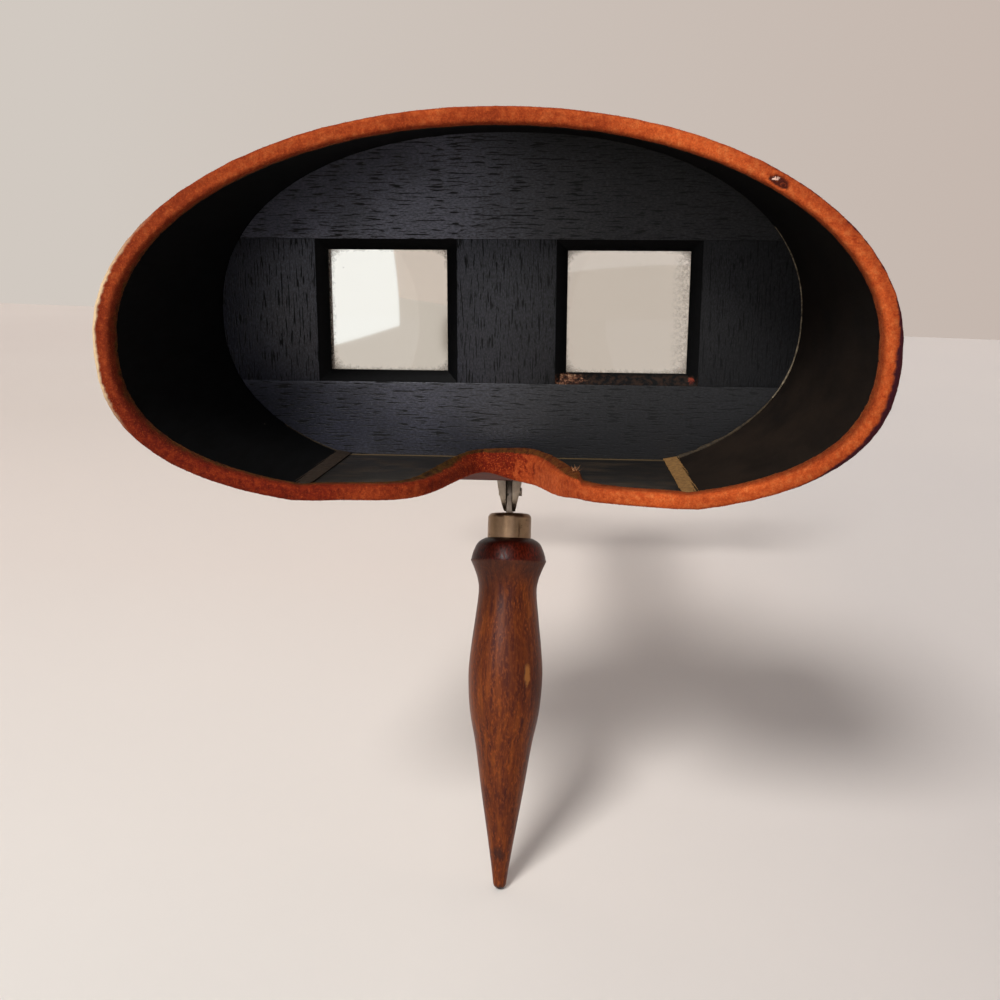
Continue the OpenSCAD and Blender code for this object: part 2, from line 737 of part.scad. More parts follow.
// The turned wooden grip with its tenon inside the ferrule
module handle_grip() {
    tenon_r = ferrule_r - ferrule_wall;
    tenon_top = ferrule_start + ferrule_wall;
    half = concat([[0, tenon_top], [tenon_r, tenon_top], [tenon_r, grip_start]],
        grip_curve, tip_arc, [[0, tip_s]]);
    color("#7a3a1c") in_hand() along_handle() difference() {
        rotate_extrude() polygon([for (p = half) [p[0], -p[1]]]);
        translate([0, 0, -tenon_top - shank_len]) cylinder(r = shank_r, h = shank_len + 1);
    }
}

leg_out = ledge_len / 2 - wire_inset;
leg_in = leg_out - wire_w;

// The ledge that the lower edge of the card stands on
module card_ledge() {
    color("#74351d") in_hand() translate([0, card_y, 0]) difference() {
        translate([0, 0, ledge_low]) union() {
            translate([-ledge_len / 2 + ledge_w / 2, -ledge_w / 2, 0])
                cube([ledge_len - ledge_w, ledge_w, ledge_t]);
            for (x = [-1, 1]) translate([x * (ledge_len - ledge_w) / 2, 0, 0])
                cylinder(r = ledge_w / 2, h = ledge_t);
        }
        for (x = [-leg_out, -leg_in, leg_in, leg_out]) for (y = [-1, 1])
            translate([x, y * wire_pair / 2, ledge_top - wire_hole])
                cylinder(r = wire_r, h = wire_hole + 1, $fn = 32);
    }
}

runner_in = bar_w / 2 + slide_gap;

// A block beside the bar that guides the holder
module runner(side) {
    height = ledge_low - under_top;
    color("#5f2a17") in_hand()
        translate([side > 0 ? runner_in : -runner_in - runner_w, card_y - runner_len / 2, under_top])
            difference() {
                cube([runner_w, runner_len, height]);
                for (y = [-1, 1])
                    translate([runner_w / 2, runner_len / 2 + y * (under_len / 2 - 4), -1])
                        cylinder(r = screw_r, h = screw_len - under_t + 1, $fn = 32);
            }
}

module runner_left() { runner(-1); }
module runner_right() { runner(1); }

// The plate that closes the slide under the bar
module under_plate() {
    half = runner_in + runner_w;
    color("#9c8250") in_hand() translate([0, card_y, under_top - under_t]) difference() {
        translate([-half, -under_len / 2, 0]) cube([2 * half, under_len, under_t]);
        for (x = [-1, 1]) for (y = [-1, 1])
            translate([x * (runner_in + runner_w / 2), y * (under_len / 2 - 4), -1])
                cylinder(r = screw_r, h = under_t + 2, $fn = 32);
    }
}

module slide_screws() {
    head_h = 1;
    color("#b59a63") in_hand() translate([0, card_y, under_top - under_t])
        for (x = [-1, 1]) for (y = [-1, 1])
            translate([x * (runner_in + runner_w / 2), y * (under_len / 2 - 4), 0]) {
                cylinder(r = screw_r, h = screw_len, $fn = 32);
                translate([0, 0, -head_h]) cylinder(r = screw_head_r, h = head_h, $fn = 32);
            }
}

// A bowed leaf that rests on the plate and presses up on the bar
module slide_spring() {
    sag = spring_space - spring_t - pin_gap;
    bow_r = (spring_len * spring_len / 4 + sag * sag) / (2 * sag);
    half_angle = asin(spring_len / 2 / bow_r);
    steps = 12;
    function bow(r, a) = [r * sin(a), r * cos(a) - bow_r];
    top = bar_low - pin_gap;
    color("#c2a25c") in_hand() translate([-spring_w / 2, card_y, top])
        rotate([90, 0, 90]) linear_extrude(spring_w)
            polygon(concat([for (k = [-steps:steps]) bow(bow_r, half_angle * k / steps)],
                [for (k = [steps:-1:-steps]) bow(bow_r - spring_t, half_angle * k / steps)]));
}

// A wire bent into a tall loop, its two legs set in the ledge
module wire_loop(x, y) {
    bend_r = wire_w / 2;
    leg_h = wire_hole + wire_h - wire_r - bend_r;
    color("#8c8676") in_hand()
        translate([x, card_y + y, ledge_top - wire_hole]) {
            for (leg = [-1, 1]) translate([leg * bend_r, 0, 0])
                cylinder(r = wire_r, h = leg_h, $fn = 32);
            translate([0, 0, leg_h]) rotate([90, 0, 0])
                rotate_extrude(angle = 180) translate([bend_r, 0]) circle(wire_r, $fn = 32);
        }
}

wire_x = (leg_in + leg_out) / 2;

module wire_front_left() { wire_loop(-wire_x, -wire_pair / 2); }
module wire_front_right() { wire_loop(wire_x, -wire_pair / 2); }
module wire_back_left() { wire_loop(-wire_x, wire_pair / 2); }
module wire_back_right() { wire_loop(wire_x, wire_pair / 2); }

hood_shell();
hood_floor();
velvet_binding();
corner_strip_left();
corner_strip_right();
top_rail();
bottom_rail();
left_stile();
centre_stile();
right_stile();
bezel_left();
bezel_right();
lens_left();
lens_right();
lens_keeper_left();
lens_keeper_right();
keeper_pins();
hood_pins();
septum();
bar();
bar_block();
bar_stop();
hinge_plate();
hinge_screws();
hinge_pin();
handle_tang();
ferrule();
handle_grip();
card_ledge();
runner_left();
runner_right();
slide_spring();
under_plate();
slide_screws();
wire_front_left();
wire_front_right();
wire_back_left();
wire_back_right();
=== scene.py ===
import math
import random
from collections import namedtuple

import bpy
from mathutils import Matrix, Vector, noise


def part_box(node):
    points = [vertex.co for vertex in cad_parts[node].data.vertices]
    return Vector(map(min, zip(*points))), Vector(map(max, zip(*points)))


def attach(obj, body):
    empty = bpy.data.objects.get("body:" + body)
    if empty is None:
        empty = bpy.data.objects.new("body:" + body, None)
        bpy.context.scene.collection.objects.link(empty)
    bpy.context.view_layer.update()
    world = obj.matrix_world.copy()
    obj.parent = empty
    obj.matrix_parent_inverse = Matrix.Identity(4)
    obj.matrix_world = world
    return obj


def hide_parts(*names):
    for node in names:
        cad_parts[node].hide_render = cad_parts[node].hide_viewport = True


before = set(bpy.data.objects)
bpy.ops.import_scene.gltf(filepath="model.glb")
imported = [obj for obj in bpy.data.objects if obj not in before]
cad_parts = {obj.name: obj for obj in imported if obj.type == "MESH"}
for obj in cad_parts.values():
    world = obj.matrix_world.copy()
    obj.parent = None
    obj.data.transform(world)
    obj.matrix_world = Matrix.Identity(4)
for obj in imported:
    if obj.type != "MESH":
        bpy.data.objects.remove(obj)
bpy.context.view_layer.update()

# Without a seed of its own, noise_vector gives other lumps in each run
noise.seed_set(7)

MM = 0.001
EYE_HALF = 32 * MM
WINDOW_HALF = 16 * MM
SCREW_R = 2 * MM
WELD = 0.002 * MM
ROOM = 12
FRAME_BODY = "viewer_frame"
HANDLE_BODY = "handle"
HOLDER_BODY = "card_holder"
# Places on the velvet for its wear and for its painted light and shade
WEAR_AND_PAINTED_LIGHT = ("crown", "inner_side", "glued_edge", "outer_left", "outer_right", "worn_through")

# Places that the finishes and the trim are worked out from
face_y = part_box("left_stile")[0].y
window_low, window_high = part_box("lens_left")
lens_z = (window_low.z + window_high.z) / 2
floor_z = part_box("bottom_rail")[0].z
tip_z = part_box("handle_grip")[0].z
hinge_low, hinge_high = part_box("hinge_pin")
hinge_at = (hinge_low + hinge_high) / 2
handle_lean = math.radians(18)
down_handle = Vector((0, -math.sin(handle_lean), -math.cos(handle_lean)))


# Small helpers for choosing, copying and finishing pieces

def only(*pieces):
    """Selects these pieces alone and makes the first one active."""
    bpy.ops.object.select_all(action="DESELECT")
    for piece in pieces:
        piece.select_set(True)
    bpy.context.view_layer.objects.active = pieces[0]


def edit(piece):
    """Enters edit mode with everything selected."""
    only(piece)
    bpy.ops.object.mode_set(mode="EDIT")
    bpy.ops.mesh.select_mode(type="VERT")
    bpy.ops.mesh.select_all(action="SELECT")


def leave():
    bpy.ops.object.mode_set(mode="OBJECT")


def apply_modifier(piece, kind, **settings):
    modifier = piece.modifiers.new(kind.lower(), kind)
    for name, value in settings.items():
        setattr(modifier, name, value)
    only(piece)
    bpy.ops.object.modifier_apply(modifier=modifier.name)


def smooth(piece, degrees=35):
    only(piece)
    bpy.ops.object.shade_smooth_by_angle(angle=math.radians(degrees))


def put(name, data):
    """Adds an object with that data to the scene."""
    made = bpy.data.objects.new(name, data)
    bpy.context.scene.collection.objects.link(made)
    return made


def copy_of(node, name):
    """A copy of a CAD node's mesh with its loose triangles merged, which stands for the node."""
    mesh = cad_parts[node].data.copy()
    mesh.materials.clear()
    mesh.name = name
    piece = put(name, mesh)
    edit(piece)
    bpy.ops.mesh.remove_doubles(threshold=WELD)
    leave()
    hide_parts(node)
    return piece


def eased(node, name, width, segments=2):
    """A node with its sharp edges eased, as sandpaper or a file leaves them."""
    piece = copy_of(node, name)
    edit(piece)
    bpy.ops.mesh.dissolve_limited(angle_limit=math.radians(0.5))
    leave()
    apply_modifier(piece, "BEVEL", width=width, segments=segments, limit_method="ANGLE",
                   angle_limit=math.radians(30))
    smooth(piece)
    return piece


def ride(piece, body, material):
    """Gives a piece its one material and its body."""
    piece.data.materials.clear()
    piece.data.materials.append(material)
    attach(piece, body)
    return piece


# The hood's form, from the same sizes as its solid, in millimetres. An oval has a half width, a rise
# above and a drop below its widest line, that line's height over the lenses' middle, and the powers
# that square its upper and lower halves. The rim stands furthest forward at its sides.

Oval = namedtuple("Oval", "half_w up low mid power_up power_low")
BOARD = Oval(76.8, 46.6, 44, -1, 2.2, 2.3)
VELVET = Oval(89, 52, 42.4, -3, 2.05, 2.6)
RIM_HALF_W, RIM_TOP = 86, 46
RIM_DEPTH_LOW, RIM_DEPTH_TOP, RIM_DEPTH_SIDE = 37, 34, 55
NOTCH_DEPTH, NOTCH_HALF_W, NOTCH_POWER = 33, 14, 5


def rim_depth(x, z):
    """How far the rim stands in front of the board's face."""
    blend = (z - floor_z) / (lens_z + RIM_TOP * MM - floor_z)
    middle = RIM_DEPTH_LOW - (RIM_DEPTH_LOW - RIM_DEPTH_TOP) * blend
    return (middle + (RIM_DEPTH_SIDE - middle) * (x / (RIM_HALF_W * MM)) ** 2) * MM


def board_edge(around):
    """A point where the board's face meets the wall: around runs from the right seam over the brow
    to the left one, 0 to 1."""
    drop = (lens_z - floor_z) / MM + BOARD.mid
    seam = math.degrees(math.asin((drop / BOARD.low) ** (BOARD.power_low / 2)))
    turn = math.radians((180 + 2 * seam) * around - seam)
    c, s = math.cos(turn), math.sin(turn)
    power = BOARD.power_up if s > 0 else BOARD.power_low
    rise = BOARD.up * s ** (2 / power) if s > 0 else -BOARD.low * (-s) ** (2 / power)
    x = math.copysign(abs(c) ** (2 / power), c) * BOARD.half_w * MM
    return Vector((x, face_y, lens_z + (BOARD.mid + rise) * MM))


# Materials

def colour(hex_value):
    """An sRGB hex value as linear red, green, blue and alpha."""
    parts = [int(hex_value[i:i + 2], 16) / 255 for i in (1, 3, 5)]
    return [p / 12.92 if p <= 0.04045 else ((p + 0.055) / 1.055) ** 2.4 for p in parts] + [1]


def fill(made, values):
    """Fills a node's sockets with values, hex colours or other nodes' outputs; a list fills the
    sockets that share a name."""
    for name, value in values.items():
        sockets = [s for s in made.inputs if s.enabled and s.name == name.replace("_", " ")]
        for socket, item in zip(sockets, value if isinstance(value, list) else [value]):
            if isinstance(item, bpy.types.NodeSocket):
                made.id_data.links.new(item, socket)
            else:
                socket.default_value = colour(item) if isinstance(item, str) else item


def add(tree, kind, give=0, **values):
    """Adds a shader node and gives its output. Names in lower case are its settings, and stops are
    a colour ramp's places and colours; the other names are its sockets."""
    made = tree.nodes.new("ShaderNode" + kind)
    stops = values.pop("stops", ())
    for name in [n for n in values if n[0].islower()]:
        setattr(made, name, values.pop(name))
    for place, _ in stops[2:]:
        made.color_ramp.elements.new(place)
    for i, (place, tone) in enumerate(stops):
        made.color_ramp.elements[i].position = place
        made.color_ramp.elements[i].color = colour(tone)
    fill(made, values)
    if isinstance(give, str):
        return made.outputs[give]
    return [o for o in made.outputs if o.enabled][give]


def new_material(name, **shader_values):
    material = bpy.data.materials.new(name)
    material.use_nodes = True
    shader = material.node_tree.nodes["Principled BSDF"]
    fill(shader, shader_values)
    return material, material.node_tree, shader


def stretched(tree, sizes, turn=(0, 0, 0), source="Object"):
    """Coordinates in which a pattern's grains have those sizes in millimetres along X, Y and Z, or
    one size all ways, after a turn."""
    if not isinstance(sizes, tuple):
        sizes = (sizes,) * 3
    at = add(tree, "TexCoord", give=source)
    if any(turn):
        at = add(tree, "Mapping", Vector=at, Rotation=turn)
    return add(tree, "Mapping", Vector=at, Scale=tuple(1 / (size * MM) for size in sizes))


def seen_directly(tree):
    """1 for a ray from the camera, off metal or through glass, and 0 for one that gives light."""
    path = add(tree, "LightPath").node.outputs
    seen = add(tree, "Math", operation="MAXIMUM", Value=[path["Is Camera Ray"], path["Is Glossy Ray"]])
    return add(tree, "Math", operation="MAXIMUM", Value=[seen, path["Is Transmission Ray"]])


def mark(tree, centre, half, ragged=0.0, soft=0.3):
    """A mark at a place on the piece: 1 inside its half sizes along X, Y and Z, and 0 outside, with
    a soft edge or one with nicks of the size ragged."""
    at = add(tree, "TexCoord", give="Object")
    off = add(tree, "VectorMath", operation="SUBTRACT", Vector=[at, centre])
    off = add(tree, "VectorMath", operation="DIVIDE", Vector=[off, half])
    far = add(tree, "VectorMath", operation="LENGTH", Vector=off)
    edge = 1 - soft
    if ragged:
        nicks = add(tree, "TexNoise", Vector=at, Scale=1 / ragged, Detail=4, Roughness=0.65)
        far = add(tree, "Math", operation="MULTIPLY_ADD", Value=[nicks, 1.8, far])
        edge += 0.9
    return add(tree, "MapRange", Value=far, From_Min=edge + soft, From_Max=edge)


def dust(tree, size_mm=0.35, few=0.985):
    """Lint and dust: a few specks on a cell pattern, drawn as wide as a picture's dot to show."""
    near = add(tree, "TexVoronoi", Vector=stretched(tree, size_mm / 0.12), Scale=1.0)
    chosen = add(tree, "SeparateColor", Color=near.node.outputs["Color"])
    speck = add(tree, "MapRange", Value=near, From_Min=0.09, From_Max=0.03)
    kept = add(tree, "MapRange", Value=chosen, From_Min=few, From_Max=few + 0.004)
    return add(tree, "Math", operation="MULTIPLY", Value=[speck, kept])


def board_paint(name, pore, grain=(0.909, 0.909, 0.3846), sheen=0.6, painted_sheen_share=0.8):
    """Open-pored hardwood under thin black paint: the pores stay open as short dashes along the
    grain, and the paint between them has a charcoal sheen where it is rubbed. A bluish-grey painted
    sheen lightens it towards the left, and painted shade darkens it towards the right. Pores and grit
    are drawn about twice as coarse as real ones, so that they show."""
    material, tree, shader = new_material(name, IOR=1.5, Specular_IOR_Level=sheen)
    pores = add(tree, "TexNoise", Vector=stretched(tree, pore), Scale=1.0, Detail=2, Distortion=0.2)
    pores = add(tree, "ValToRGB", Fac=pores, stops=((0.39, "#000000"), (0.45, "#FFFFFF")))
    grit = add(tree, "TexNoise", Vector=stretched(tree, grain), Scale=1.0, Detail=4, Roughness=0.7)
    cloud = add(tree, "TexNoise", Vector=stretched(tree, 26.3), Scale=1.0, Detail=3)
    base = add(tree, "ValToRGB", Fac=grit, stops=((0.36, "#050507"), (0.5, "#0D0D11"), (0.64, "#24242E")))
    thin = add(tree, "MapRange", Value=cloud, From_Min=0.4, From_Max=0.7, To_Max=0.4)
    x = add(tree, "SeparateXYZ", give="X", Vector=add(tree, "TexCoord", give="Object"))
    # Painted sheen: the paint turns bluish grey towards the left, patchy and speckled by the grit
    painted_sheen = add(tree, "MapRange", Value=x, From_Min=14 * MM, From_Max=-22 * MM, To_Max=painted_sheen_share)
    patchy = add(tree, "MapRange", Value=cloud, From_Min=0.38, From_Max=0.6, To_Min=0.45)
    gritty = add(tree, "MapRange", Value=grit, From_Min=0.4, From_Max=0.62, To_Min=0.3)
    for part in (patchy, gritty):
        painted_sheen = add(tree, "Math", operation="MULTIPLY", Value=[painted_sheen, part])
    # Painted shade: the paint darkens towards the right
    deep = add(tree, "MapRange", Value=x, From_Min=-20 * MM, From_Max=35 * MM, To_Max=0.75)
    open_pore = add(tree, "MapRange", Value=pores, To_Min=0.95, To_Max=0.0)
    sunk = add(tree, "Math", operation="SUBTRACT", Value=[1.0, pores])
    layers = ((thin, "#0E0E10"), (painted_sheen, "#565663"), (sunk, "#030304"),
              (dust(tree, 0.3, 0.988), "#8E8A82"), (deep, "#060607"))
    for share, tone in layers:
        base = add(tree, "Mix", data_type="RGBA", Factor=share, A=base, B=tone)
    rough = add(tree, "MapRange", Value=grit, From_Min=0.35, From_Max=0.65, To_Min=0.55, To_Max=0.3)
    matt = add(tree, "MapRange", Value=x, From_Min=-28 * MM, From_Max=30 * MM, To_Max=0.32)
    rough = add(tree, "Math", operation="ADD", Value=[rough, matt])
    rough = add(tree, "Math", operation="MAXIMUM", Value=[rough, open_pore])
    # A round blister over a filled hole and a patch of bubbled paint
    blister = mark(tree, (-7.7 * MM, face_y, 130.4 * MM), (1.0 * MM,) * 3, soft=0.5)
    bubbles = add(tree, "TexNoise", Vector=stretched(tree, 0.667), Scale=1.0, Detail=1)
    patch = mark(tree, (0, face_y, 77.5 * MM), (9 * MM, 2 * MM, 3 * MM), ragged=3 * MM)
    bubbles = add(tree, "Math", operation="MULTIPLY", Value=[bubbles, patch])
    height = add(tree, "Math", operation="MULTIPLY_ADD", Value=[grit, 0.9, pores])
    for raised in (blister, bubbles):
        height = add(tree, "Math", operation="MULTIPLY_ADD", Value=[raised, 2.5, height])
    fill(shader, {"Base Color": base, "Roughness": rough,
                  "Normal": add(tree, "Bump", Height=height, Distance=0.03 * MM)})
    return material


def bezel_paint(name, rubbed_and_painted_highlight):
    """Mitred moulding in deep black paint; the right sill is rubbed to brown wood, with crumbs of
    glue at its left end and a chip of red ground at its right."""
    material, tree, shader = new_material(name, Roughness=0.6, IOR=1.5, Specular_IOR_Level=0.08)
    crumbs = add(tree, "TexNoise", Vector=stretched(tree, 1.25), Scale=1.0, Detail=5, Roughness=0.7)
    base = add(tree, "ValToRGB", Fac=crumbs, stops=((0.35, "#010101"), (0.7, "#050506")))
    if rubbed_and_painted_highlight:
        sill_z = lens_z - WINDOW_HALF
        z = add(tree, "SeparateXYZ", give="Z", Vector=add(tree, "TexCoord", give="Object"))
        sill = add(tree, "MapRange", Value=z, From_Min=sill_z, From_Max=sill_z - 0.8 * MM)
        bare = add(tree, "MapRange", Value=crumbs, From_Min=0.44, From_Max=0.6, To_Max=0.8)
        bare = add(tree, "Math", operation="MULTIPLY", Value=[bare, sill])
        glue = add(tree, "ValToRGB", Fac=crumbs,
                   stops=((0.4, "#160B07"), (0.5, "#422619"), (0.58, "#835C44"), (0.66, "#B39779")))
        left_end = mark(tree, (16.8 * MM, face_y + 1.2 * MM, sill_z - 1.9 * MM),
                        (4.2 * MM, 3 * MM, 1.9 * MM), ragged=0.8 * MM)
        red = add(tree, "ValToRGB", Fac=crumbs, stops=((0.42, "#2E0C07"), (0.6, "#7E3424")))
        chip = mark(tree, (49.3 * MM, face_y + 1.2 * MM, sill_z - 1.6 * MM),
                    (1.0 * MM, 3 * MM, 1.0 * MM), ragged=0.6 * MM)
        for share, tone in ((bare, "#2E1E14"), (left_end, glue), (chip, red)):
            base = add(tree, "Mix", data_type="RGBA", Factor=share, A=base, B=tone)
    fill(shader, {"Base Color": base, "Normal": add(tree, "Bump", Height=crumbs, Distance=0.08 * MM)})
    return material


def hood_inside():
    """The wall's inner face: matt black paint on bent wood, thin and dusty brown where hands and
    glue have rubbed it, towards the floor and the right."""
    material, tree, shader = new_material("hood_inside_matt_black", Roughness=0.7, IOR=1.5,
                                          Specular_IOR_Level=0.1)
    at = add(tree, "TexCoord", give="Object")
    x, z = (add(tree, "SeparateXYZ", give=axis, Vector=at) for axis in "XZ")
    streaks = add(tree, "TexNoise", Vector=stretched(tree, (2.38, 11.1, 2.38)), Scale=1.0, Detail=4,
                  Roughness=0.6)
    patches = add(tree, "TexNoise", Vector=stretched(tree, 13.33), Scale=1.0, Detail=4, Roughness=0.65)
    low = add(tree, "MapRange", Value=z, From_Min=lens_z + 25 * MM, From_Max=floor_z + 6 * MM, To_Min=0.12)
    right = add(tree, "MapRange", Value=x, From_Min=-10 * MM, From_Max=60 * MM)
    brown = add(tree, "Math", operation="MULTIPLY", Value=[low, right])
    patches = add(tree, "MapRange", Value=patches, From_Min=0.25, From_Max=0.6, To_Min=0.3)
    brown = add(tree, "Math", operation="MULTIPLY", Value=[brown, patches])
    base = add(tree, "ValToRGB", Fac=streaks, stops=((0.35, "#030303"), (0.65, "#070708")))
    for share, tone in ((brown, "#221A14"), (dust(tree, 0.35, 0.982), "#8F8676")):
        base = add(tree, "Mix", data_type="RGBA", Factor=share, A=base, B=tone)
    fill(shader, {"Base Color": base, "Normal": add(tree, "Bump", Height=streaks, Distance=0.1 * MM)})
    return material


def hood_floor_paint():
    """The floor panel's top: black paint rubbed thin, with brown wood showing in streaks along it
    and a line of old glue where it meets the board."""
    material, tree, shader = new_material("hood_floor_rubbed_paint", Roughness=0.5, IOR=1.5)
    y = add(tree, "SeparateXYZ", give="Y", Vector=add(tree, "TexCoord", give="Object"))
    streaks = add(tree, "TexNoise", Vector=stretched(tree, (16.67, 1.25, 1.25)), Scale=1.0, Detail=4,
                  Roughness=0.6)
    patches = add(tree, "TexNoise", Vector=stretched(tree, (9.09, 5, 9.09)), Scale=1.0, Detail=4,
                  Roughness=0.6)
    base = add(tree, "ValToRGB", Fac=streaks, stops=((0.35, "#080707"), (0.7, "#1F1A15")))
    patches = add(tree, "MapRange", Value=patches, From_Min=0.48, From_Max=0.78)
    joint = add(tree, "MapRange", Value=y, From_Min=face_y - 1.6 * MM, From_Max=face_y - 0.3 * MM, To_Max=0.8)
    for share, tone in ((patches, "#35291D"), (joint, "#7A6443"), (dust(tree, 0.35, 0.965), "#B0A793")):
        base = add(tree, "Mix", data_type="RGBA", Factor=share, A=base, B=tone)
    fill(shader, {"Base Color": base, "Normal": add(tree, "Bump", Height=streaks, Distance=0.15 * MM)})
    return material


def varnished_wood(name, dark, light, glow, grain, gloss=0.22, coat=0.45, source="Object"):
    """Reddish hardwood under old shellac: a deep glossy coat over streaks of grain, drawn several
    pores wide, so that they show."""
    material, tree, shader = new_material(name, IOR=1.5, Specular_IOR_Level=0.3, Coat_Weight=coat,
                                          Coat_Roughness=gloss)
    streaks = add(tree, "TexNoise", Vector=stretched(tree, grain, source=source), Scale=1.0, Detail=5,
                  Roughness=0.6, Distortion=0.3)
    wider = tuple(size / 0.22 for size in grain)
    bands = add(tree, "TexNoise", Vector=stretched(tree, wider, source=source), Scale=1.0, Detail=2)
    bands = add(tree, "MapRange", Value=bands, From_Min=0.45, From_Max=0.75, To_Max=0.6)
    base = add(tree, "ValToRGB", Fac=streaks, stops=((0.3, dark), (0.72, light)))
    base = add(tree, "Mix", data_type="RGBA", Factor=bands, A=base, B=glow)
    rough = add(tree, "MapRange", Value=streaks, From_Min=0.3, From_Max=0.7, To_Min=0.35, To_Max=0.5)
    fill(shader, {"Base Color": base, "Roughness": rough,
                  "Normal": add(tree, "Bump", Height=streaks, Distance=0.05 * MM)})
    return material


def handle_wood():
    """Turned beech under red-brown stain, rubbed by hands to a satin: beech's orange flecks along
    the grain, a dark red cap above the arris, a bare chip and a bruise near the tip."""
    material, tree, shader = new_material("turned_stained_beech", IOR=1.5, Specular_IOR_Level=0.18)
    lean = (handle_lean, 0, 0)
    flecks = add(tree, "TexNoise", Vector=stretched(tree, (0.5, 0.5, 1.43), lean), Scale=1.0, Detail=3,
                 Roughness=0.6)
    streaks = add(tree, "TexNoise", Vector=stretched(tree, (1.25, 1.25, 16.67), lean), Scale=1.0, Detail=4,
                  Roughness=0.6)
    patches = add(tree, "TexNoise", Vector=stretched(tree, (7.69, 7.69, 16.67), lean), Scale=1.0, Detail=3)
    base = add(tree, "ValToRGB", Fac=streaks, stops=((0.3, "#34100A"), (0.5, "#582409"), (0.7, "#74380F")))
    orange = add(tree, "MapRange", Value=flecks, From_Min=0.5, From_Max=0.68, To_Max=0.6)
    dull = add(tree, "MapRange", Value=patches, From_Min=0.45, From_Max=0.7, To_Max=0.6)
    at = add(tree, "TexCoord", give="Object")
    off = add(tree, "VectorMath", operation="SUBTRACT", Vector=[at, hinge_at])
    down = add(tree, "VectorMath", operation="DOT_PRODUCT", Vector=[off, down_handle])
    red = add(tree, "ValToRGB", Fac=flecks, stops=((0.35, "#1C0301"), (0.65, "#541504")))
    cap = add(tree, "MapRange", Value=down, From_Min=20.3 * MM, From_Max=20.0 * MM)
    collar = add(tree, "MapRange", Value=down, From_Min=16.2 * MM, From_Max=14.4 * MM, To_Max=0.85)
    band = add(tree, "MapRange", Value=down, From_Min=27 * MM, From_Max=21 * MM, To_Max=0.6)
    below = add(tree, "Math", operation="SUBTRACT", Value=[1.0, cap])
    band = add(tree, "Math", operation="MULTIPLY", Value=[band, below])
    foot = add(tree, "MapRange", Value=down, From_Min=111.8 * MM, From_Max=113.2 * MM)
    bare = mark(tree, (6.7 * MM, -5.2 * MM, 9.8 * MM), (0.95 * MM, 3 * MM, 3.9 * MM),
                ragged=2.5 * MM, soft=0.5)
    bruise = mark(tree, (-0.4 * MM, -16.3 * MM, -40 * MM), (2 * MM, 3 * MM, 2.6 * MM), ragged=1.2 * MM,
                  soft=0.7)
    bruise = add(tree, "Math", operation="MULTIPLY", Value=[bruise, 0.75])
    layers = ((orange, "#8C4515"), (dull, "#3E1608"), (cap, red), (collar, "#0C0302"),
              (band, "#3B2118"), (foot, "#160A07"), (bare, "#8A5527"), (bruise, "#2A1712"))
    for share, tone in layers:
        base = add(tree, "Mix", data_type="RGBA", Factor=share, A=base, B=tone)
    rough = add(tree, "MapRange", Value=flecks, From_Min=0.35, From_Max=0.7, To_Min=0.3, To_Max=0.46)
    height = add(tree, "Math", operation="MULTIPLY_ADD", Value=[flecks, 0.6, streaks])
    height = add(tree, "Math", operation="MULTIPLY_ADD", Value=[bare, -3.0, height])
    fill(shader, {"Base Color": base, "Roughness": rough,
                  "Normal": add(tree, "Bump", Height=height, Distance=0.06 * MM)})
    return material


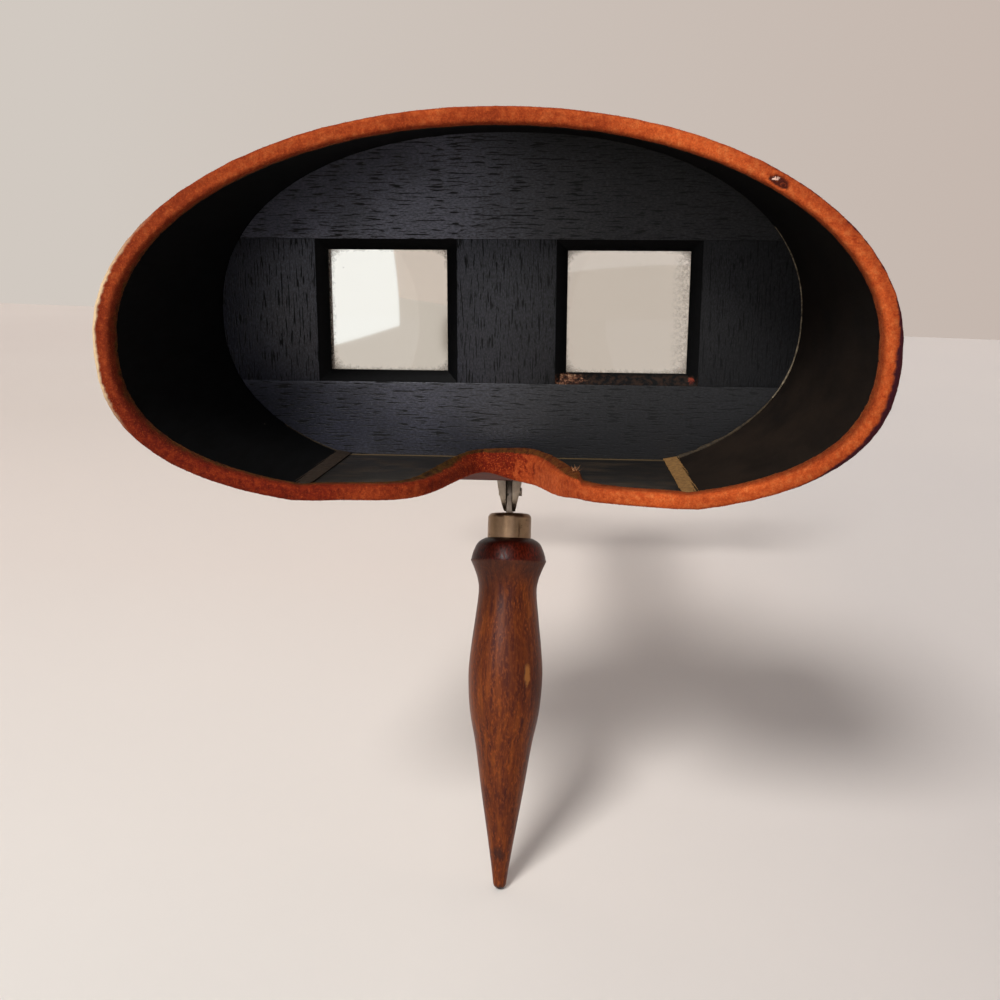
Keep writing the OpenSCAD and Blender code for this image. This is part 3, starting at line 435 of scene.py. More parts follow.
def cotton_velvet():
    """Cotton velvet dyed orange-red: a short dense pile, bright with painted light along its crown, on the
    right and higher up, and dark with painted shade on its rounded sides, on its inner side and at its
    lower left; darker at the nose, and stained olive by glue at its inner edge. Its outer edge has a
    painted highlight on the left and painted shade low on the right, and a painted glint lies by the
    hole worn through it. The pile's dots are several fibres wide, so that they show."""
    material, tree, shader = new_material("cotton_velvet", Roughness=0.85, IOR=1.4, Specular_IOR_Level=0.15,
                                          Sheen_Weight=0.15, Sheen_Roughness=0.4, Sheen_Tint="#FF8A55")
    at = add(tree, "TexCoord", give="Object")
    x, z = (add(tree, "SeparateXYZ", give=axis, Vector=at) for axis in "XZ")
    pile = add(tree, "TexNoise", Vector=stretched(tree, 0.3846), Scale=1.0, Detail=2, Roughness=0.7)
    tufts = add(tree, "TexNoise", Vector=stretched(tree, 1.429), Scale=1.0, Detail=3, Roughness=0.65)
    fading = add(tree, "TexNoise", Vector=stretched(tree, 18.18), Scale=1.0, Detail=3)
    # Lit and shaded copies of the dye: painted light and painted shade
    bright = add(tree, "ValToRGB", Fac=tufts, stops=((0.3, "#B4481B"), (0.5, "#CC5C27"), (0.7, "#DA743A")))
    dark = add(tree, "ValToRGB", Fac=tufts, stops=((0.3, "#501206"), (0.5, "#701F0B"), (0.7, "#8E3312")))
    # Painted light: brighter towards the right and higher up, and painted shade lower on the left
    right = add(tree, "MapRange", Value=x, From_Min=-25 * MM, From_Max=55 * MM)
    high = add(tree, "MapRange", Value=z, From_Min=floor_z + 14 * MM, From_Max=floor_z + 55 * MM, To_Max=0.5)
    wear_and_painted_light = add(tree, "Math", operation="MAXIMUM", Value=[right, high])
    fading = add(tree, "MapRange", Value=fading, From_Min=0.35, From_Max=0.65, To_Min=-0.2, To_Max=0.2)
    wear_and_painted_light = add(tree, "Math", operation="ADD", Value=[wear_and_painted_light, fading])
    # Darker at the nose, where the pile's dots also have more contrast
    darker_at_nose = mark(tree, (-5 * MM, -16 * MM, 71 * MM), (14 * MM, 20 * MM, 7 * MM), ragged=2.5 * MM)
    wear_and_painted_light = add(tree, "Math", operation="MULTIPLY_ADD", Value=[darker_at_nose, -0.7, wear_and_painted_light], use_clamp=True)
    base = add(tree, "Mix", data_type="RGBA", Factor=wear_and_painted_light, A=dark, B=bright)
    crown, inner, glued, rubbed_and_painted_highlight, painted_shade_outer_right, bare, frayed = (
        add(tree, "Attribute", attribute_name=place, give="Fac") for place in WEAR_AND_PAINTED_LIGHT + ("frayed",))
    # Painted shade on the strip's rounded sides off its crown, and on its inner side, less on the right
    off_crown = add(tree, "MapRange", Value=crown, To_Min=0.45, To_Max=0.0)
    least = add(tree, "MapRange", Value=right, To_Min=0.62, To_Max=0.32)
    inner = add(tree, "Math", operation="MULTIPLY", Value=[inner, least])
    coarse = add(tree, "MapRange", Value=darker_at_nose, To_Min=0.35, To_Max=0.8)
    shade = add(tree, "MapRange", Value=pile, From_Min=0.32, From_Max=0.6, To_Min=1.0, To_Max=0.0)
    shade = add(tree, "Math", operation="MULTIPLY", Value=[shade, coarse])
    lit = add(tree, "MapRange", Value=pile, From_Min=0.56, From_Max=0.75)
    lit = add(tree, "Math", operation="MULTIPLY", Value=[lit, coarse])
    glue = add(tree, "ValToRGB", Fac=tufts, stops=((0.35, "#140D05"), (0.65, "#43300F")))
    bare = add(tree, "MapRange", Value=bare, From_Min=0.3, From_Max=1.0)
    # A painted glint: a small pale mark by the worn-through hole
    painted_glint = mark(tree, (61.4 * MM, -46.4 * MM, 143.2 * MM), (1.3 * MM, 2 * MM, 0.55 * MM), ragged=0.4 * MM)
    # On the outer edge, a pale painted highlight on the left and painted shade low on the right
    layers = ((off_crown, "#5C1506"), (inner, "#47130A"), (shade, "#5A1205"), (lit, "#CE6026"),
              (glued, glue), (rubbed_and_painted_highlight, "#D8BC94"), (painted_shade_outer_right, "#331018"), (bare, "#40160D"),
              (painted_glint, "#DDB8A4"), (frayed, "#C98F62"))
    for share, tone in layers:
        base = add(tree, "Mix", data_type="RGBA", Factor=share, A=base, B=tone)
    height = add(tree, "Math", operation="ADD", Value=[pile, tufts])
    fill(shader, {"Base Color": base, "Normal": add(tree, "Bump", Height=height, Distance=0.15 * MM)})
    return material


def lens_glass():
    """Old polished crown glass: clear in the middle, hazed and crusted with dust and putty in its
    corners, speckled along the outer side of the right lens."""
    material, tree, shader = new_material("crown_glass_with_dirty_edges", Roughness=0.02, IOR=1.52,
                                          Transmission_Weight=1.0, Base_Color="#F4F3EC",
                                          Specular_IOR_Level=0.05)
    at = add(tree, "TexCoord", give="Object")
    x, z = (add(tree, "SeparateXYZ", give=axis, Vector=at) for axis in "XZ")
    # The window's square with round corners: 1 at its edge, and less inside
    shares = []
    for off, middle in ((add(tree, "Math", operation="ABSOLUTE", Value=x), EYE_HALF), (z, lens_z)):
        off = add(tree, "Math", operation="SUBTRACT", Value=[off, middle])
        off = add(tree, "Math", operation="ABSOLUTE", Value=off)
        off = add(tree, "Math", operation="DIVIDE", Value=[off, WINDOW_HALF])
        shares.append(add(tree, "Math", operation="POWER", Value=[off, 7.0]))
    ring = add(tree, "Math", operation="ADD", Value=shares)
    ring = add(tree, "Math", operation="POWER", Value=[ring, 1 / 7])
    crumbs = add(tree, "TexNoise", Vector=stretched(tree, 0.909), Scale=1.0, Detail=4, Roughness=0.7)
    reach = add(tree, "Math", operation="MULTIPLY_ADD", Value=[crumbs, 0.24, ring])
    dirt = add(tree, "MapRange", Value=reach, From_Min=1.1, From_Max=1.2, To_Max=0.5)
    edge = add(tree, "MapRange", Value=ring, From_Min=0.72, From_Max=1.0)
    specks = add(tree, "Math", operation="MULTIPLY", Value=[dust(tree, 0.3, 0.9), edge])
    side = add(tree, "MapRange", Value=x, From_Min=43.5 * MM, From_Max=47.5 * MM)
    band = add(tree, "MapRange", Value=crumbs, From_Min=0.46, From_Max=0.66, To_Max=0.5)
    band = add(tree, "Math", operation="MULTIPLY", Value=[side, band])
    for part in (band, specks):
        dirt = add(tree, "Math", operation="MAXIMUM", Value=[dirt, part])
    crust = add(tree, "ValToRGB", Fac=crumbs, stops=((0.36, "#7A6656"), (0.46, "#C4B5A3"), (0.6, "#EFE8DC")))
    matt = add(tree, "BsdfDiffuse", Color=crust)
    haze = add(tree, "BsdfTranslucent", Color=crust)
    crust = add(tree, "MixShader", Fac=0.75, Shader=[matt, haze])
    whole = add(tree, "MixShader", Fac=dirt, Shader=[shader.outputs[0], crust])
    fill(tree.nodes["Material Output"], {"Surface": whole})
    return material


def aged_metal(name, bright, dull, rough=0.3, turn=(0, 0, 0), tarnish=0.6):
    """Plated or bare metal, dulled by cloudy tarnish and small dark pits, with drawing lines along Z
    after the turn, coarser than real ones, so that they show."""
    material, tree, shader = new_material(name, Metallic=1.0)
    cloud = add(tree, "TexNoise", Vector=stretched(tree, 4.17), Scale=1.0, Detail=4, Roughness=0.6)
    lines = add(tree, "TexNoise", Vector=stretched(tree, (0.3846, 0.3846, 8.33), turn), Scale=1.0, Detail=2)
    pits = add(tree, "TexNoise", Vector=stretched(tree, 1.11), Scale=1.0, Detail=2)
    pits = add(tree, "ValToRGB", Fac=pits, stops=((0.24, "#000000"), (0.3, "#FFFFFF")))
    dulled = add(tree, "MapRange", Value=cloud, From_Min=0.38, From_Max=0.68, To_Max=tarnish)
    base = add(tree, "Mix", data_type="RGBA", Factor=dulled, A=bright, B=dull)
    base = add(tree, "Mix", data_type="RGBA", Factor=pits, A="#2A2018", B=base)
    roughness = add(tree, "MapRange", Value=cloud, From_Min=0.3, From_Max=0.7, To_Min=rough,
                    To_Max=rough + 0.15)
    height = add(tree, "Math", operation="ADD", Value=[lines, pits])
    fill(shader, {"Base Color": base, "Roughness": roughness,
                  "Normal": add(tree, "Bump", Height=height, Distance=0.008 * MM)})
    return material


def old_glue(name, dark, light):
    """Brown hide glue with paper and dust in it: matt, crumbly and uneven."""
    material, tree, shader = new_material(name, Roughness=0.75, IOR=1.5, Specular_IOR_Level=0.3)
    crumbs = add(tree, "TexNoise", Vector=stretched(tree, 1.11), Scale=1.0, Detail=5, Roughness=0.7)
    base = add(tree, "ValToRGB", Fac=crumbs, stops=((0.34, dark), (0.66, light)))
    fill(shader, {"Base Color": base, "Normal": add(tree, "Bump", Height=crumbs, Distance=0.12 * MM)})
    return material


# The lens board: rails with their grain across, stiles with it upright

def lens_board():
    # A pore's length along the grain, its depth into the face and its width, in millimetres
    pore_l, pore_d, pore_w = 5.26, 2.5, 0.4545
    # The last number given to each board paint is its share of painted sheen towards the left
    upright = board_paint("black_paint_on_upright_grain", (pore_w, pore_d, pore_l),
                          (0.3846, 0.909, 0.909), sheen=0.4, painted_sheen_share=0.3)
    lengthwise = board_paint("black_paint_on_long_grain", (pore_w, pore_l, pore_w))
    for node, painted_sheen_share in (("top_rail", 1.3), ("bottom_rail", 0.65)):
        across = board_paint("black_paint_on_" + node, (pore_l, pore_d, pore_w), painted_sheen_share=painted_sheen_share)
        ride(eased(node, node + "_painted", 0.12 * MM), FRAME_BODY, across)
    for node in ("left_stile", "centre_stile", "right_stile"):
        ride(eased(node, node + "_painted", 0.12 * MM), FRAME_BODY, upright)
    ride(eased("septum", "septum_wood", 0.4 * MM), FRAME_BODY, lengthwise)


def bezels():
    ride(eased("bezel_left", "bezel_left_moulding", 0.1 * MM), FRAME_BODY, bezel_paint("bezel_black", False))
    ride(eased("bezel_right", "bezel_right_moulding", 0.1 * MM), FRAME_BODY,
         bezel_paint("bezel_black_rubbed_sill", True))


def lenses():
    glass = lens_glass()
    keeper = varnished_wood("keeper_thin_shellac", "#2E1A0F", "#5B3820", "#6A4022", (1.11, 1.11, 11.1),
                            coat=0.2)
    for side in ("left", "right"):
        lens = copy_of("lens_" + side, "lens_glass_" + side)
        smooth(lens, 20)
        ride(lens, FRAME_BODY, glass)
        ride(eased("lens_keeper_" + side, "lens_frame_" + side, 0.15 * MM), FRAME_BODY, keeper)
    brass = aged_metal("tarnished_brass_pins", "#B3914F", "#5E4726", 0.32)
    for node in ("keeper_pins", "hood_pins"):
        pins = copy_of(node, node + "_brass")
        smooth(pins)
        ride(pins, FRAME_BODY, brass)


# The hood

HOOD_SHELLAC = ("#2A0A07", "#541A10", "#6A2614")


def hood_wall():
    """The bent wall, made smooth round its curve, varnished outside and black inside."""
    wall = copy_of("hood_shell", "hood_wall")
    edit(wall)
    bpy.ops.mesh.tris_convert_to_quads(face_threshold=math.radians(40), shape_threshold=math.radians(40))
    bpy.ops.mesh.select_mode(type="EDGE")
    bpy.ops.mesh.select_all(action="DESELECT")
    bpy.ops.mesh.edges_select_sharp(sharpness=math.radians(40))
    bpy.ops.transform.edge_crease(value=1)
    leave()
    apply_modifier(wall, "SUBSURF", levels=2, render_levels=2)
    smooth(wall)
    wall.data.materials.append(varnished_wood("hood_outside_shellac", *HOOD_SHELLAC, (40, 1.11, 1.11),
                                              gloss=0.14, source="UV"))
    wall.data.materials.append(hood_inside())
    middle = Vector((0, 0, lens_z))
    for face in wall.data.polygons:
        outward = face.center - middle
        outward.y = 0
        face.material_index = 1 if face.normal.dot(outward.normalized()) < -0.5 else 0
    around = wall.data.uv_layers.new(name="around_the_wall")
    bend_radius = 70 * MM
    for loop in wall.data.loops:
        at = wall.data.vertices[loop.vertex_index].co
        around.data[loop.index].uv = (math.atan2(at.x, at.z - lens_z) * bend_radius, at.y)
    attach(wall, FRAME_BODY)


def hood_bottom():
    panel = eased("hood_floor", "hood_floor_panel", 0.1 * MM)
    panel.data.materials.append(hood_floor_paint())
    panel.data.materials.append(varnished_wood("hood_floor_underside", *HOOD_SHELLAC, (25, 1.11, 1.11),
                                               gloss=0.14))
    for face in panel.data.polygons:
        face.material_index = 1 if face.normal.z < -0.5 else 0
    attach(panel, FRAME_BODY)


def corner_strips():
    """Glue-soaked strips in the corners, lumpy as old glue is; the right one's top edge is crumbled,
    and the left one is coloured darker as painted shade.
    """
    # The left strip's darker colours are painted shade
    finishes = {"left": ("#1F160E", "#35281D", 0.05), "right": ("#6A4B2A", "#96703F", 0.12)}
    for side, (dark, light, crumbled) in finishes.items():
        proud = Vector((0.15 if side == "left" else -0.15, 0, 0.15))
        strip = copy_of("corner_strip_" + side, "corner_glue_" + side)
        apply_modifier(strip, "REMESH", mode="VOXEL", voxel_size=0.14 * MM)
        apply_modifier(strip, "SMOOTH", factor=0.5, iterations=8)
        normals = [vertex.normal.copy() for vertex in strip.data.vertices]
        for vertex, normal in zip(strip.data.vertices, normals):
            lumps = noise.noise_vector(vertex.co / (2.2 * MM)) * 0.08 + normal * 0.1
            lumps += noise.noise_vector(vertex.co / (0.9 * MM)) * crumbled
            vertex.co += (lumps + proud) * MM
        smooth(strip, 60)
        ride(strip, FRAME_BODY, old_glue("old_hide_glue_" + side, dark, light))


def glue_bead(name, start, end, radius, material):
    """A line of glue squeezed out between the wall and the board's face, from one share of the way
    round to another; radius gives its thickness in millimetres at a share of its length."""
    steps = 90
    curve = bpy.data.curves.new(name, "CURVE")
    curve.dimensions = "3D"
    curve.bevel_depth = 1.0
    curve.bevel_resolution = 2
    curve.use_fill_caps = True
    line = curve.splines.new("POLY")
    line.points.add(steps)
    for i, point in enumerate(line.points):
        at = board_edge(start + (end - start) * i / steps)
        lump = noise.noise(at / (4 * MM)) + 0.5 * noise.noise(at / (1.3 * MM))
        point.co = (at.x, at.y - 0.1 * MM, at.z, 1)
        point.radius = radius(i / steps) * (1 + 0.5 * lump) * MM
    only(put(name, curve))
    bpy.ops.object.convert(target="MESH")
    bead = bpy.context.view_layer.objects.active
    edit(bead)
    bpy.ops.mesh.remove_doubles(threshold=WELD)
    bpy.ops.mesh.normals_make_consistent(inside=False)
    leave()
    smooth(bead, 60)
    return ride(bead, FRAME_BODY, material)


def glue_lines():
    pale = old_glue("dried_glue_pale", "#2C2318", "#9A8A70")
    brown = old_glue("dried_glue_olive", "#1C150D", "#463824")
    glue_bead("glue_line_right", 0.02, 0.29, lambda s: 0.3 - 0.18 * s, pale)
    glue_bead("glue_line_right_low", 0.0, 0.13, lambda s: 0.75 - 0.6 * s, brown)
    glue_bead("glue_line_left", 1.0, 0.94, lambda s: 0.28 - 0.2 * s, brown)


# The velvet

def nose_cut(x):
    """How deep the nose notch cuts into the floor panel's front edge."""
    return NOTCH_DEPTH * MM / (1 + (abs(x) / (NOTCH_HALF_W * MM)) ** NOTCH_POWER)


def ahead_of_rim(at):
    """How far a point of the velvet lies in front of the wood that it covers: the crown is ahead,
    and the edges glued down inside and outside are behind."""
    front = face_y - rim_depth(at.x, at.z)
    if at.z < floor_z + 2 * MM:
        front += nose_cut(at.x)
    return front - at.y


def from_outside(at):
    """How far a point of the rim's side lies in from the velvet's widest outline at its height."""
    rise = (at.z - lens_z) / MM - VELVET.mid
    power, reach = (VELVET.power_up, VELVET.up) if rise > 0 else (VELVET.power_low, VELVET.low)
    half_w = VELVET.half_w * MM * max(0, 1 - (abs(rise) / reach) ** power) ** (1 / power)
    return half_w - abs(at.x)


def between(value, low, high):
    """A value's share of the way from low to high, held between 0 and 1."""
    return min(1, max(0, (value - low) / (high - low)))


def bump_at(x, middle, half):
    """1 at a place across the viewer, falling smoothly to 0 at half its width to either side."""
    return max(0, 1 - ((x / MM - middle) / half) ** 2) ** 2


def write_places(mesh, name, values):
    """Gives each point of a mesh its value, 0 to 1, for its material to read."""
    mesh.attributes.new(name, "FLOAT", "POINT").data.foreach_set("value", values)


def velvet_strip():
    """The velvet: the binding's solid remeshed finely, rounded, worn through in one place on the
    brow, and slack in the nose notch, where it sags under its right side and has come unstuck."""
    strip = copy_of("velvet_binding", "velvet")
    apply_modifier(strip, "REMESH", mode="VOXEL", voxel_size=0.35 * MM)
    apply_modifier(strip, "SMOOTH", factor=0.5, iterations=5)
    hole_at, hole_way = Vector((62.2, -46.1, 142.6)) * MM, Vector((0.83, -0.28, -0.48))
    hole_half_l, hole_half_w = 2.8 * MM, 1.2 * MM
    bare = []
    normals = [vertex.normal.copy() for vertex in strip.data.vertices]
    for vertex, normal in zip(strip.data.vertices, normals):
        at = vertex.co.copy()
        swell = 0.08 + 0.05 * noise.noise(at / (7 * MM)) + 0.05 * noise.noise(at / (0.9 * MM))
        wander = noise.noise_vector(at / (4 * MM)) * 0.06
        vertex.co = at + (normal * swell + wander) * MM
        off = at - hole_at
        far = off.dot(hole_way)
        apart = (off - hole_way * far).length
        nick = noise.noise(at / (1.1 * MM)) * 0.5
        # The hole: the pile is worn down to its cloth
        wear_and_painted_light = 1 - between((far / hole_half_l) ** 2 + (apart / hole_half_w) ** 2 + nick, 0.75, 1.1)
        vertex.co -= normal * wear_and_painted_light * 0.5 * MM
        bare.append(wear_and_painted_light)
        # The slack in the nose notch: it sags below, and its right end stands off the wood
        if at.z < floor_z + 4 * MM:
            low = between(at.z, floor_z, floor_z - 2.6 * MM)
            sag = 3.2 * low * bump_at(at.x, 7.5, 13.5) + 0.7 * bump_at(at.x, -16, 24)
            lift = 1.6 * (1 - low) * between(at.x, 11 * MM, 20 * MM) * between(at.x, 21.2 * MM, 20.4 * MM)
            vertex.co.z += (lift - sag) * MM
    smooth(strip, 80)
    write_places(strip.data, "worn_through", bare)
    return strip


def pile_places(strip):
    """Marks where each point of the velvet lies, for its wear and its painted light: on its crown, on its
    inner side for painted shade, at its glued edge, and along its outer edge, on the left for a painted
    highlight and low on the right for painted shade."""
    marks = {place: [] for place in WEAR_AND_PAINTED_LIGHT[:-1]}
    for vertex in strip.data.vertices:
        at = vertex.co
        ahead = ahead_of_rim(at)
        ragged = noise.noise(at / (1.5 * MM)) * MM + noise.noise(at / (0.6 * MM)) * 0.5 * MM
        left = 0.5 + 0.5 * between(at.x, 15 * MM, -15 * MM)
        marks["crown"].append(between(ahead, 0.1 * MM, 0.8 * MM))
        toward = Vector((-at.x, 0, lens_z - at.z)).normalized()
        rise = between(at.z, floor_z + 2 * MM, floor_z + 12 * MM)
        marks["inner_side"].append(between(vertex.normal.dot(toward), -0.2, 0.7) * rise)
        deep = between(ahead + ragged, -0.3 * MM, -2.2 * MM) * left
        marks["glued_edge"].append(max(deep, between(ahead + ragged, -2.3 * MM, -2.9 * MM) * 0.8))
        # Painted highlight along the outer edge on the left, and painted shade along it low on the right
        inward = from_outside(at) + ragged * 0.4
        highlight_height = between(at.z, lens_z - 24 * MM, lens_z - 12 * MM)
        highlight_height *= between(at.z, lens_z + 26 * MM, lens_z + 10 * MM)
        rubbed_and_painted_highlight = highlight_height * between(inward, 1.2 * MM, 0.7 * MM)
        shade_height = between(at.z, lens_z + 8 * MM, lens_z - 4 * MM)
        shade_height *= between(at.z, lens_z - 36 * MM, lens_z - 28 * MM)
        painted_shade_outer_right = between(inward, (0.4 + 1.5 * shade_height) * MM, (0.1 + 1.3 * shade_height) * MM)
        marks["outer_left"].append(rubbed_and_painted_highlight if at.x < 0 else 0)
        marks["outer_right"].append(painted_shade_outer_right if at.x > 60 * MM else 0)
    for place, values in marks.items():
        write_places(strip.data, place, values)


def spike(points, faces, root, side, other, tip):
    """A thin closed spike of three sides on a root, with its tip's place."""
    start = len(points)
    for turn in range(3):
        angle = turn * math.tau / 3
        points.append(root + side * math.cos(angle) + other * math.sin(angle))
    points.append(tip)
    faces.append((start + 1, start, start + 2))
    faces += [(start + k, start + (k + 1) % 3, start + 3) for k in range(3)]


def velvet_pile(strip, fibres=16000, threads=30):
    """Single fibres that stand out of the velvet, and a few frayed threads at the step where its
    slack end has come unstuck."""
    chance = random.Random(7)
    mesh = strip.data
    mesh.calc_loop_triangles()
    areas = [t.area for t in mesh.loop_triangles]
    points, faces, roots = [], [], []
    for index in chance.choices(range(len(areas)), weights=areas, k=fibres):
        triangle = mesh.loop_triangles[index]
        a, b, c = (mesh.vertices[i].co for i in triangle.vertices)
        u, v = chance.random(), chance.random()
        if u + v > 1:
            u, v = 1 - u, 1 - v
        foot = a + (b - a) * u + (c - a) * v
        lean = Vector([chance.uniform(-1, 1) for _ in range(3)]) * 0.9
        way = (triangle.normal + lean).normalized()
        length = chance.uniform(0.15, 0.35) * MM
        side = way.orthogonal().normalized() * chance.uniform(0.03, 0.05) * MM
        root = foot - triangle.normal * 0.1 * MM
        spike(points, faces, root, side, way.cross(side), foot + way * length)
        roots += [triangle.vertices[0]] * 4
    frayed = [0.0] * len(points)
    step = [v.co for v in mesh.vertices if 19.4 * MM < v.co.x < 20.5 * MM and v.co.z < floor_z + 5 * MM]
    step = max(step, key=lambda co: co.z)
    side, other = Vector((0.09 * MM, 0, 0)), Vector((0, 0.09 * MM, 0))
    for _ in range(threads):
        foot = step + Vector((chance.uniform(-0.8, 0.6), chance.uniform(-1.5, 0.5), -0.3)) * MM
        way = Vector((chance.uniform(-0.3, 0.9), chance.uniform(-0.6, 0.2), chance.uniform(0.4, 1)))
        spike(points, faces, foot, side, other, foot + way * chance.uniform(0.8, 2.2) * MM)
        roots += [0] * 4
        frayed += [1.0] * 4
    pile = bpy.data.meshes.new("velvet_pile")
    pile.from_pydata(points, [], faces)
    write_places(pile, "frayed", frayed)
    for place in WEAR_AND_PAINTED_LIGHT:
        wear_and_painted_light = mesh.attributes[place].data
        write_places(pile, place, [wear_and_painted_light[root].value for root in roots])
    piece = put("velvet_pile", pile)
    return piece


def velvet():
    cloth = cotton_velvet()
    strip = velvet_strip()
    pile_places(strip)
    pile = velvet_pile(strip)
    ride(strip, FRAME_BODY, cloth)
    ride(pile, FRAME_BODY, cloth)


# The bar and the hinge

def cut_slot(piece, centre, size):
    """A saw cut across a screw's head."""
    bpy.ops.mesh.primitive_cube_add(size=1, location=centre, scale=size)
    saw = bpy.context.active_object
    apply_modifier(piece, "BOOLEAN", operation="DIFFERENCE", object=saw, solver="EXACT")
    bpy.data.objects.remove(saw)


def bar():
    red_wood = varnished_wood("bar_shellac_on_cherry", "#3A130A", "#6E2E17", "#7E3A1C", (1.11, 22.2, 1.11))
    ride(eased("bar", "bar_wood", 0.8 * MM, 3), FRAME_BODY, red_wood)
    # The block's pale greyish-pink is painted reflection on its shellac, over the wood's own red
    block = varnished_wood("block_shellac_with_painted_reflection", "#4A2A24", "#7C5850", "#6A3A30", (25, 1.11, 1.11),
                           gloss=0.35, coat=0.3)
    ride(eased("bar_block", "bar_block_wood", 0.5 * MM), FRAME_BODY, block)
    stop = copy_of("bar_stop", "bar_stop_screw")
    low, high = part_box("bar_stop")
    cut_slot(stop, Vector(((low.x + high.x) / 2, (low.y + high.y) / 2, high.z)), (6 * MM, 0.6 * MM, 1.2 * MM))
    smooth(stop)
    ride(stop, FRAME_BODY, aged_metal("stop_screw_brass", "#B3914F", "#6B5230"))


def hinge():
    steel = aged_metal("worn_tinned_iron", "#9E9080", "#6C5C4C", 0.36)
    ride(eased("hinge_plate", "hinge_plate_metal", 0.18 * MM), FRAME_BODY, steel)
    ride(eased("hinge_pin", "hinge_pin_metal", 0.12 * MM), FRAME_BODY, steel)
    ride(eased("handle_tang", "tang_metal", 0.15 * MM), HANDLE_BODY, steel)
    screws = copy_of("hinge_screws", "hinge_screws_brass")
    low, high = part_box("hinge_screws")
    for y in (low.y + SCREW_R, high.y - SCREW_R):
        cut_slot(screws, Vector((0, y, low.z)), (6 * MM, 0.5 * MM, 1.0 * MM))
    smooth(screws)
    ride(screws, FRAME_BODY, aged_metal("hinge_screw_brass", "#B39A62", "#5E4A2A"))
    cap = copy_of("ferrule", "ferrule_cap")
    smooth(cap, 20)
    ride(cap, HANDLE_BODY, aged_metal("ferrule_nickel_worn_to_brass", "#94795E", "#6E553F",
                                      turn=(handle_lean, 0, 0), tarnish=0.5))


def handle():
    """The turned grip, with its ring's arris left crisp by the turning tool."""
    grip = copy_of("handle_grip", "turned_grip")
    arris = 20.2 * MM
    for vertex in grip.data.vertices:
        off = vertex.co - hinge_at
        down = off.dot(down_handle)
        if abs(down - arris) < 0.3 * MM:
            vertex.co += (off - down_handle * down).normalized() * 0.2 * MM
    smooth(grip, 25)
    ride(grip, HANDLE_BODY, handle_wood())


# The card holder

def card_holder():
    red_wood = varnished_wood("ledge_shellac_on_cherry", "#40160B", "#78351A", "#874220", (22.2, 1.11, 1.11))
    runner_wood = varnished_wood("runner_shellac_on_cherry", "#35110A", "#642A15", "#733619",
                                 (1.11, 16.67, 1.11))
    ride(eased("card_ledge", "card_ledge_wood", 0.7 * MM, 3), HOLDER_BODY, red_wood)
    for node in ("runner_left", "runner_right"):
        ride(eased(node, node + "_wood", 0.5 * MM), HOLDER_BODY, runner_wood)
    brass = aged_metal("rolled_sheet_brass", "#B8975A", "#6F5733", 0.34)
    ride(eased("under_plate", "under_plate_brass", 0.2 * MM), HOLDER_BODY, brass)
    ride(eased("slide_spring", "slide_spring_brass", 0.06 * MM), HOLDER_BODY, brass)
    screws = copy_of("slide_screws", "slide_screws_brass")
    low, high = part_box("slide_screws")
    for x in (low.x + SCREW_R, high.x - SCREW_R):
        for y in (low.y + SCREW_R, high.y - SCREW_R):
            cut_slot(screws, Vector((x, y, low.z)), (6 * MM, 0.5 * MM, 0.8 * MM))
    smooth(screws)
    ride(screws, HOLDER_BODY, brass)
    wire = aged_metal("drawn_wire_dull_plating", "#A9A59B", "#6B6254")
    for place in ("front_left", "front_right", "back_left", "back_right"):
        loop = copy_of("wire_" + place, "card_wire_" + place)
        smooth(loop, 50)
        ride(loop, HOLDER_BODY, wire)


# Camera, lamps and room

def camera():
    """The view fitted to the board's and the windows' corners."""
    data = bpy.data.cameras.new("view")
    data.sensor_width = 36
    data.lens = 41.4
    eye = put("view", data)
    turn = (Matrix.Rotation(math.radians(4.726), 4, "Z") @ Matrix.Rotation(math.radians(90 - 14.056), 4, "X")
            @ Matrix.Rotation(math.radians(0.163), 4, "Z"))
    eye.matrix_world = Matrix.Translation(Vector((23.79, -306.15, 136.03)) * MM) @ turn
    bpy.context.scene.camera = eye


def lamp(name, kind, place, target, energy, tint, **settings):
    data = bpy.data.lights.new(name, kind)
    data.energy = energy
    data.color = colour(tint)[:3]
    for setting, value in settings.items():
        setattr(data, setting, value)
    light = put(name, data)
    light.location = place
    light.rotation_euler = (Vector(target) - Vector(place)).to_track_quat("-Z", "Y").to_euler()
    light.visible_camera = False


def lamps():
    """A soft high key from the left front, and a broad window low in front that gives paint and
    polish their sheen."""
    lamp("key", "SUN", (-0.6, -1.28, 1.42), (0, 0, 0), 2.75, "#FFFDFB", angle=math.radians(18))
    lamp("window", "SUN", (-0.47, -1.9, 0.0), (0, 0, 0.01), 0.95, "#E2EAFF", angle=math.radians(90))
    world = bpy.data.worlds.new("soft_room")
    world.use_nodes = True
    tree = world.node_tree
    tone = add(tree, "Mix", data_type="RGBA", Factor=seen_directly(tree), A="#8D8F92", B="#BAB5B0")
    fill(tree.nodes["Background"], {"Color": tone, "Strength": 1.0})
    bpy.context.scene.world = world


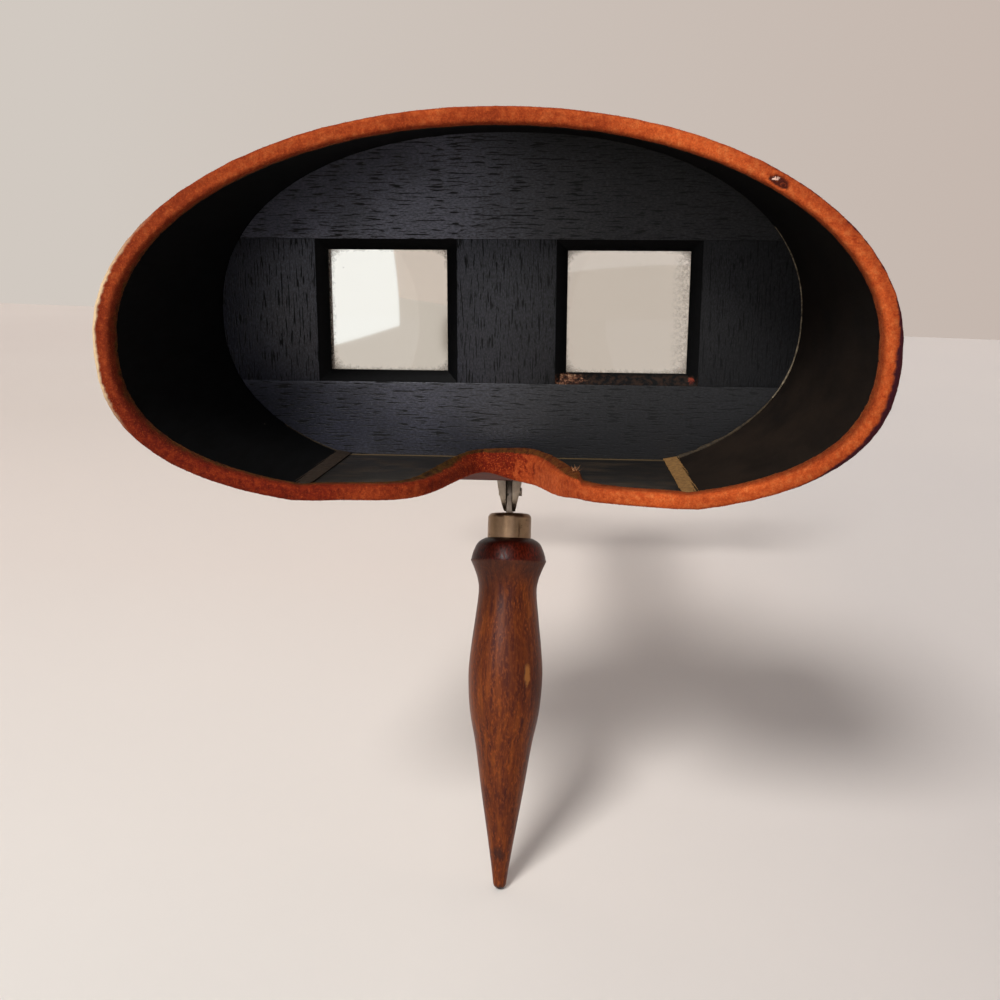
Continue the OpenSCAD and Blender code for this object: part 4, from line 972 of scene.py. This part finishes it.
def table():
    """A table of matt white laminate, darkened by painted shade to the back and the right, faintly
    clouded.
    """
    bpy.ops.mesh.primitive_plane_add(size=ROOM, location=(0, 0, tip_z))
    plane = bpy.context.active_object
    plane.name = "table"
    bpy.ops.object.transform_apply(location=True, rotation=True, scale=True)
    material, tree, shader = new_material("table_matt_white_laminate", Roughness=0.7, IOR=1.45,
                                          Specular_IOR_Level=0.05)
    at = add(tree, "TexCoord", give="Object")
    x, y = (add(tree, "SeparateXYZ", give=axis, Vector=at) for axis in "XY")
    # Painted shade: darker to the back and to the right
    share = add(tree, "MapRange", Value=y, From_Min=-0.1, From_Max=1.4)
    right = add(tree, "MapRange", Value=x, From_Min=-0.02, From_Max=0.17)
    cloud = add(tree, "TexNoise", Vector=stretched(tree, 333), Scale=1.0, Detail=2)
    base = add(tree, "ValToRGB", Fac=share,
               stops=((0.0, "#EBE6DF"), (0.25, "#DBD1C9"), (0.55, "#CEC4BC"), (1.0, "#C9BFB8")))
    base = add(tree, "Mix", data_type="RGBA", Factor=right, A=base, B="#C8C2BE")
    dimmed = add(tree, "MapRange", Value=cloud, From_Min=0.35, From_Max=0.65, To_Max=0.2)
    base = add(tree, "Mix", data_type="RGBA", Factor=dimmed, A=base, B="#D2CBC4")
    fill(shader, {"Base Color": base})
    plane.data.materials.append(material)


def wall():
    """A plain painted wall behind, which shows its own colour to the camera, the glass and metal."""
    bpy.ops.mesh.primitive_plane_add(size=ROOM)
    plane = bpy.context.active_object
    plane.name = "wall"
    bpy.ops.transform.resize(value=(1, 0.5, 1))
    plane.rotation_euler = (math.radians(90), 0, math.radians(-15.6))
    plane.location = (-0.29, 1.768, tip_z + ROOM / 4)
    bpy.ops.object.transform_apply(location=True, rotation=True, scale=True)
    material, tree, shader = new_material("wall_matt_distemper", Roughness=0.8, Specular_IOR_Level=0.2)
    x = add(tree, "SeparateXYZ", give="X", Vector=add(tree, "TexCoord", give="Object"))
    share = add(tree, "MapRange", Value=x, From_Min=-1.25, From_Max=0.65)
    tone = add(tree, "ValToRGB", Fac=share, stops=((0.15, "#D1C9C1"), (1.0, "#C5B7AE")))
    fill(shader, {"Base Color": tone})
    glow = add(tree, "Emission", Color=tone, Strength=1.0)
    both = add(tree, "MixShader", Fac=seen_directly(tree), Shader=[shader.outputs[0], glow])
    fill(tree.nodes["Material Output"], {"Surface": both})
    plane.data.materials.append(material)


def card():
    """A small white card on the table behind, which shows upside down as the bright corner in the
    left lens and gives nothing else any light."""
    corners = [(-0.285, tip_z), (-0.235, tip_z), (-0.235, 0.044), (-0.2775, 0.033)]
    mesh = bpy.data.meshes.new("white_card")
    mesh.from_pydata([(x, 1.0, z) for x, z in corners], [], [(0, 1, 2, 3)])
    sheet = put("white_card", mesh)
    material, tree, _ = new_material("white_card_paper", Roughness=0.8)
    glow = add(tree, "Emission", Color="#FFFFFF", Strength=1.0)
    fill(tree.nodes["Material Output"], {"Surface": glow})
    mesh.materials.append(material)
    for ray in ("camera", "diffuse", "glossy", "shadow"):
        setattr(sheet, "visible_" + ray, False)


camera()
lens_board()
bezels()
lenses()
hood_wall()
hood_bottom()
corner_strips()
glue_lines()
velvet()
bar()
hinge()
handle()
card_holder()
lamps()
table()
wall()
card()
bpy.context.scene.view_settings.view_transform = "Standard"
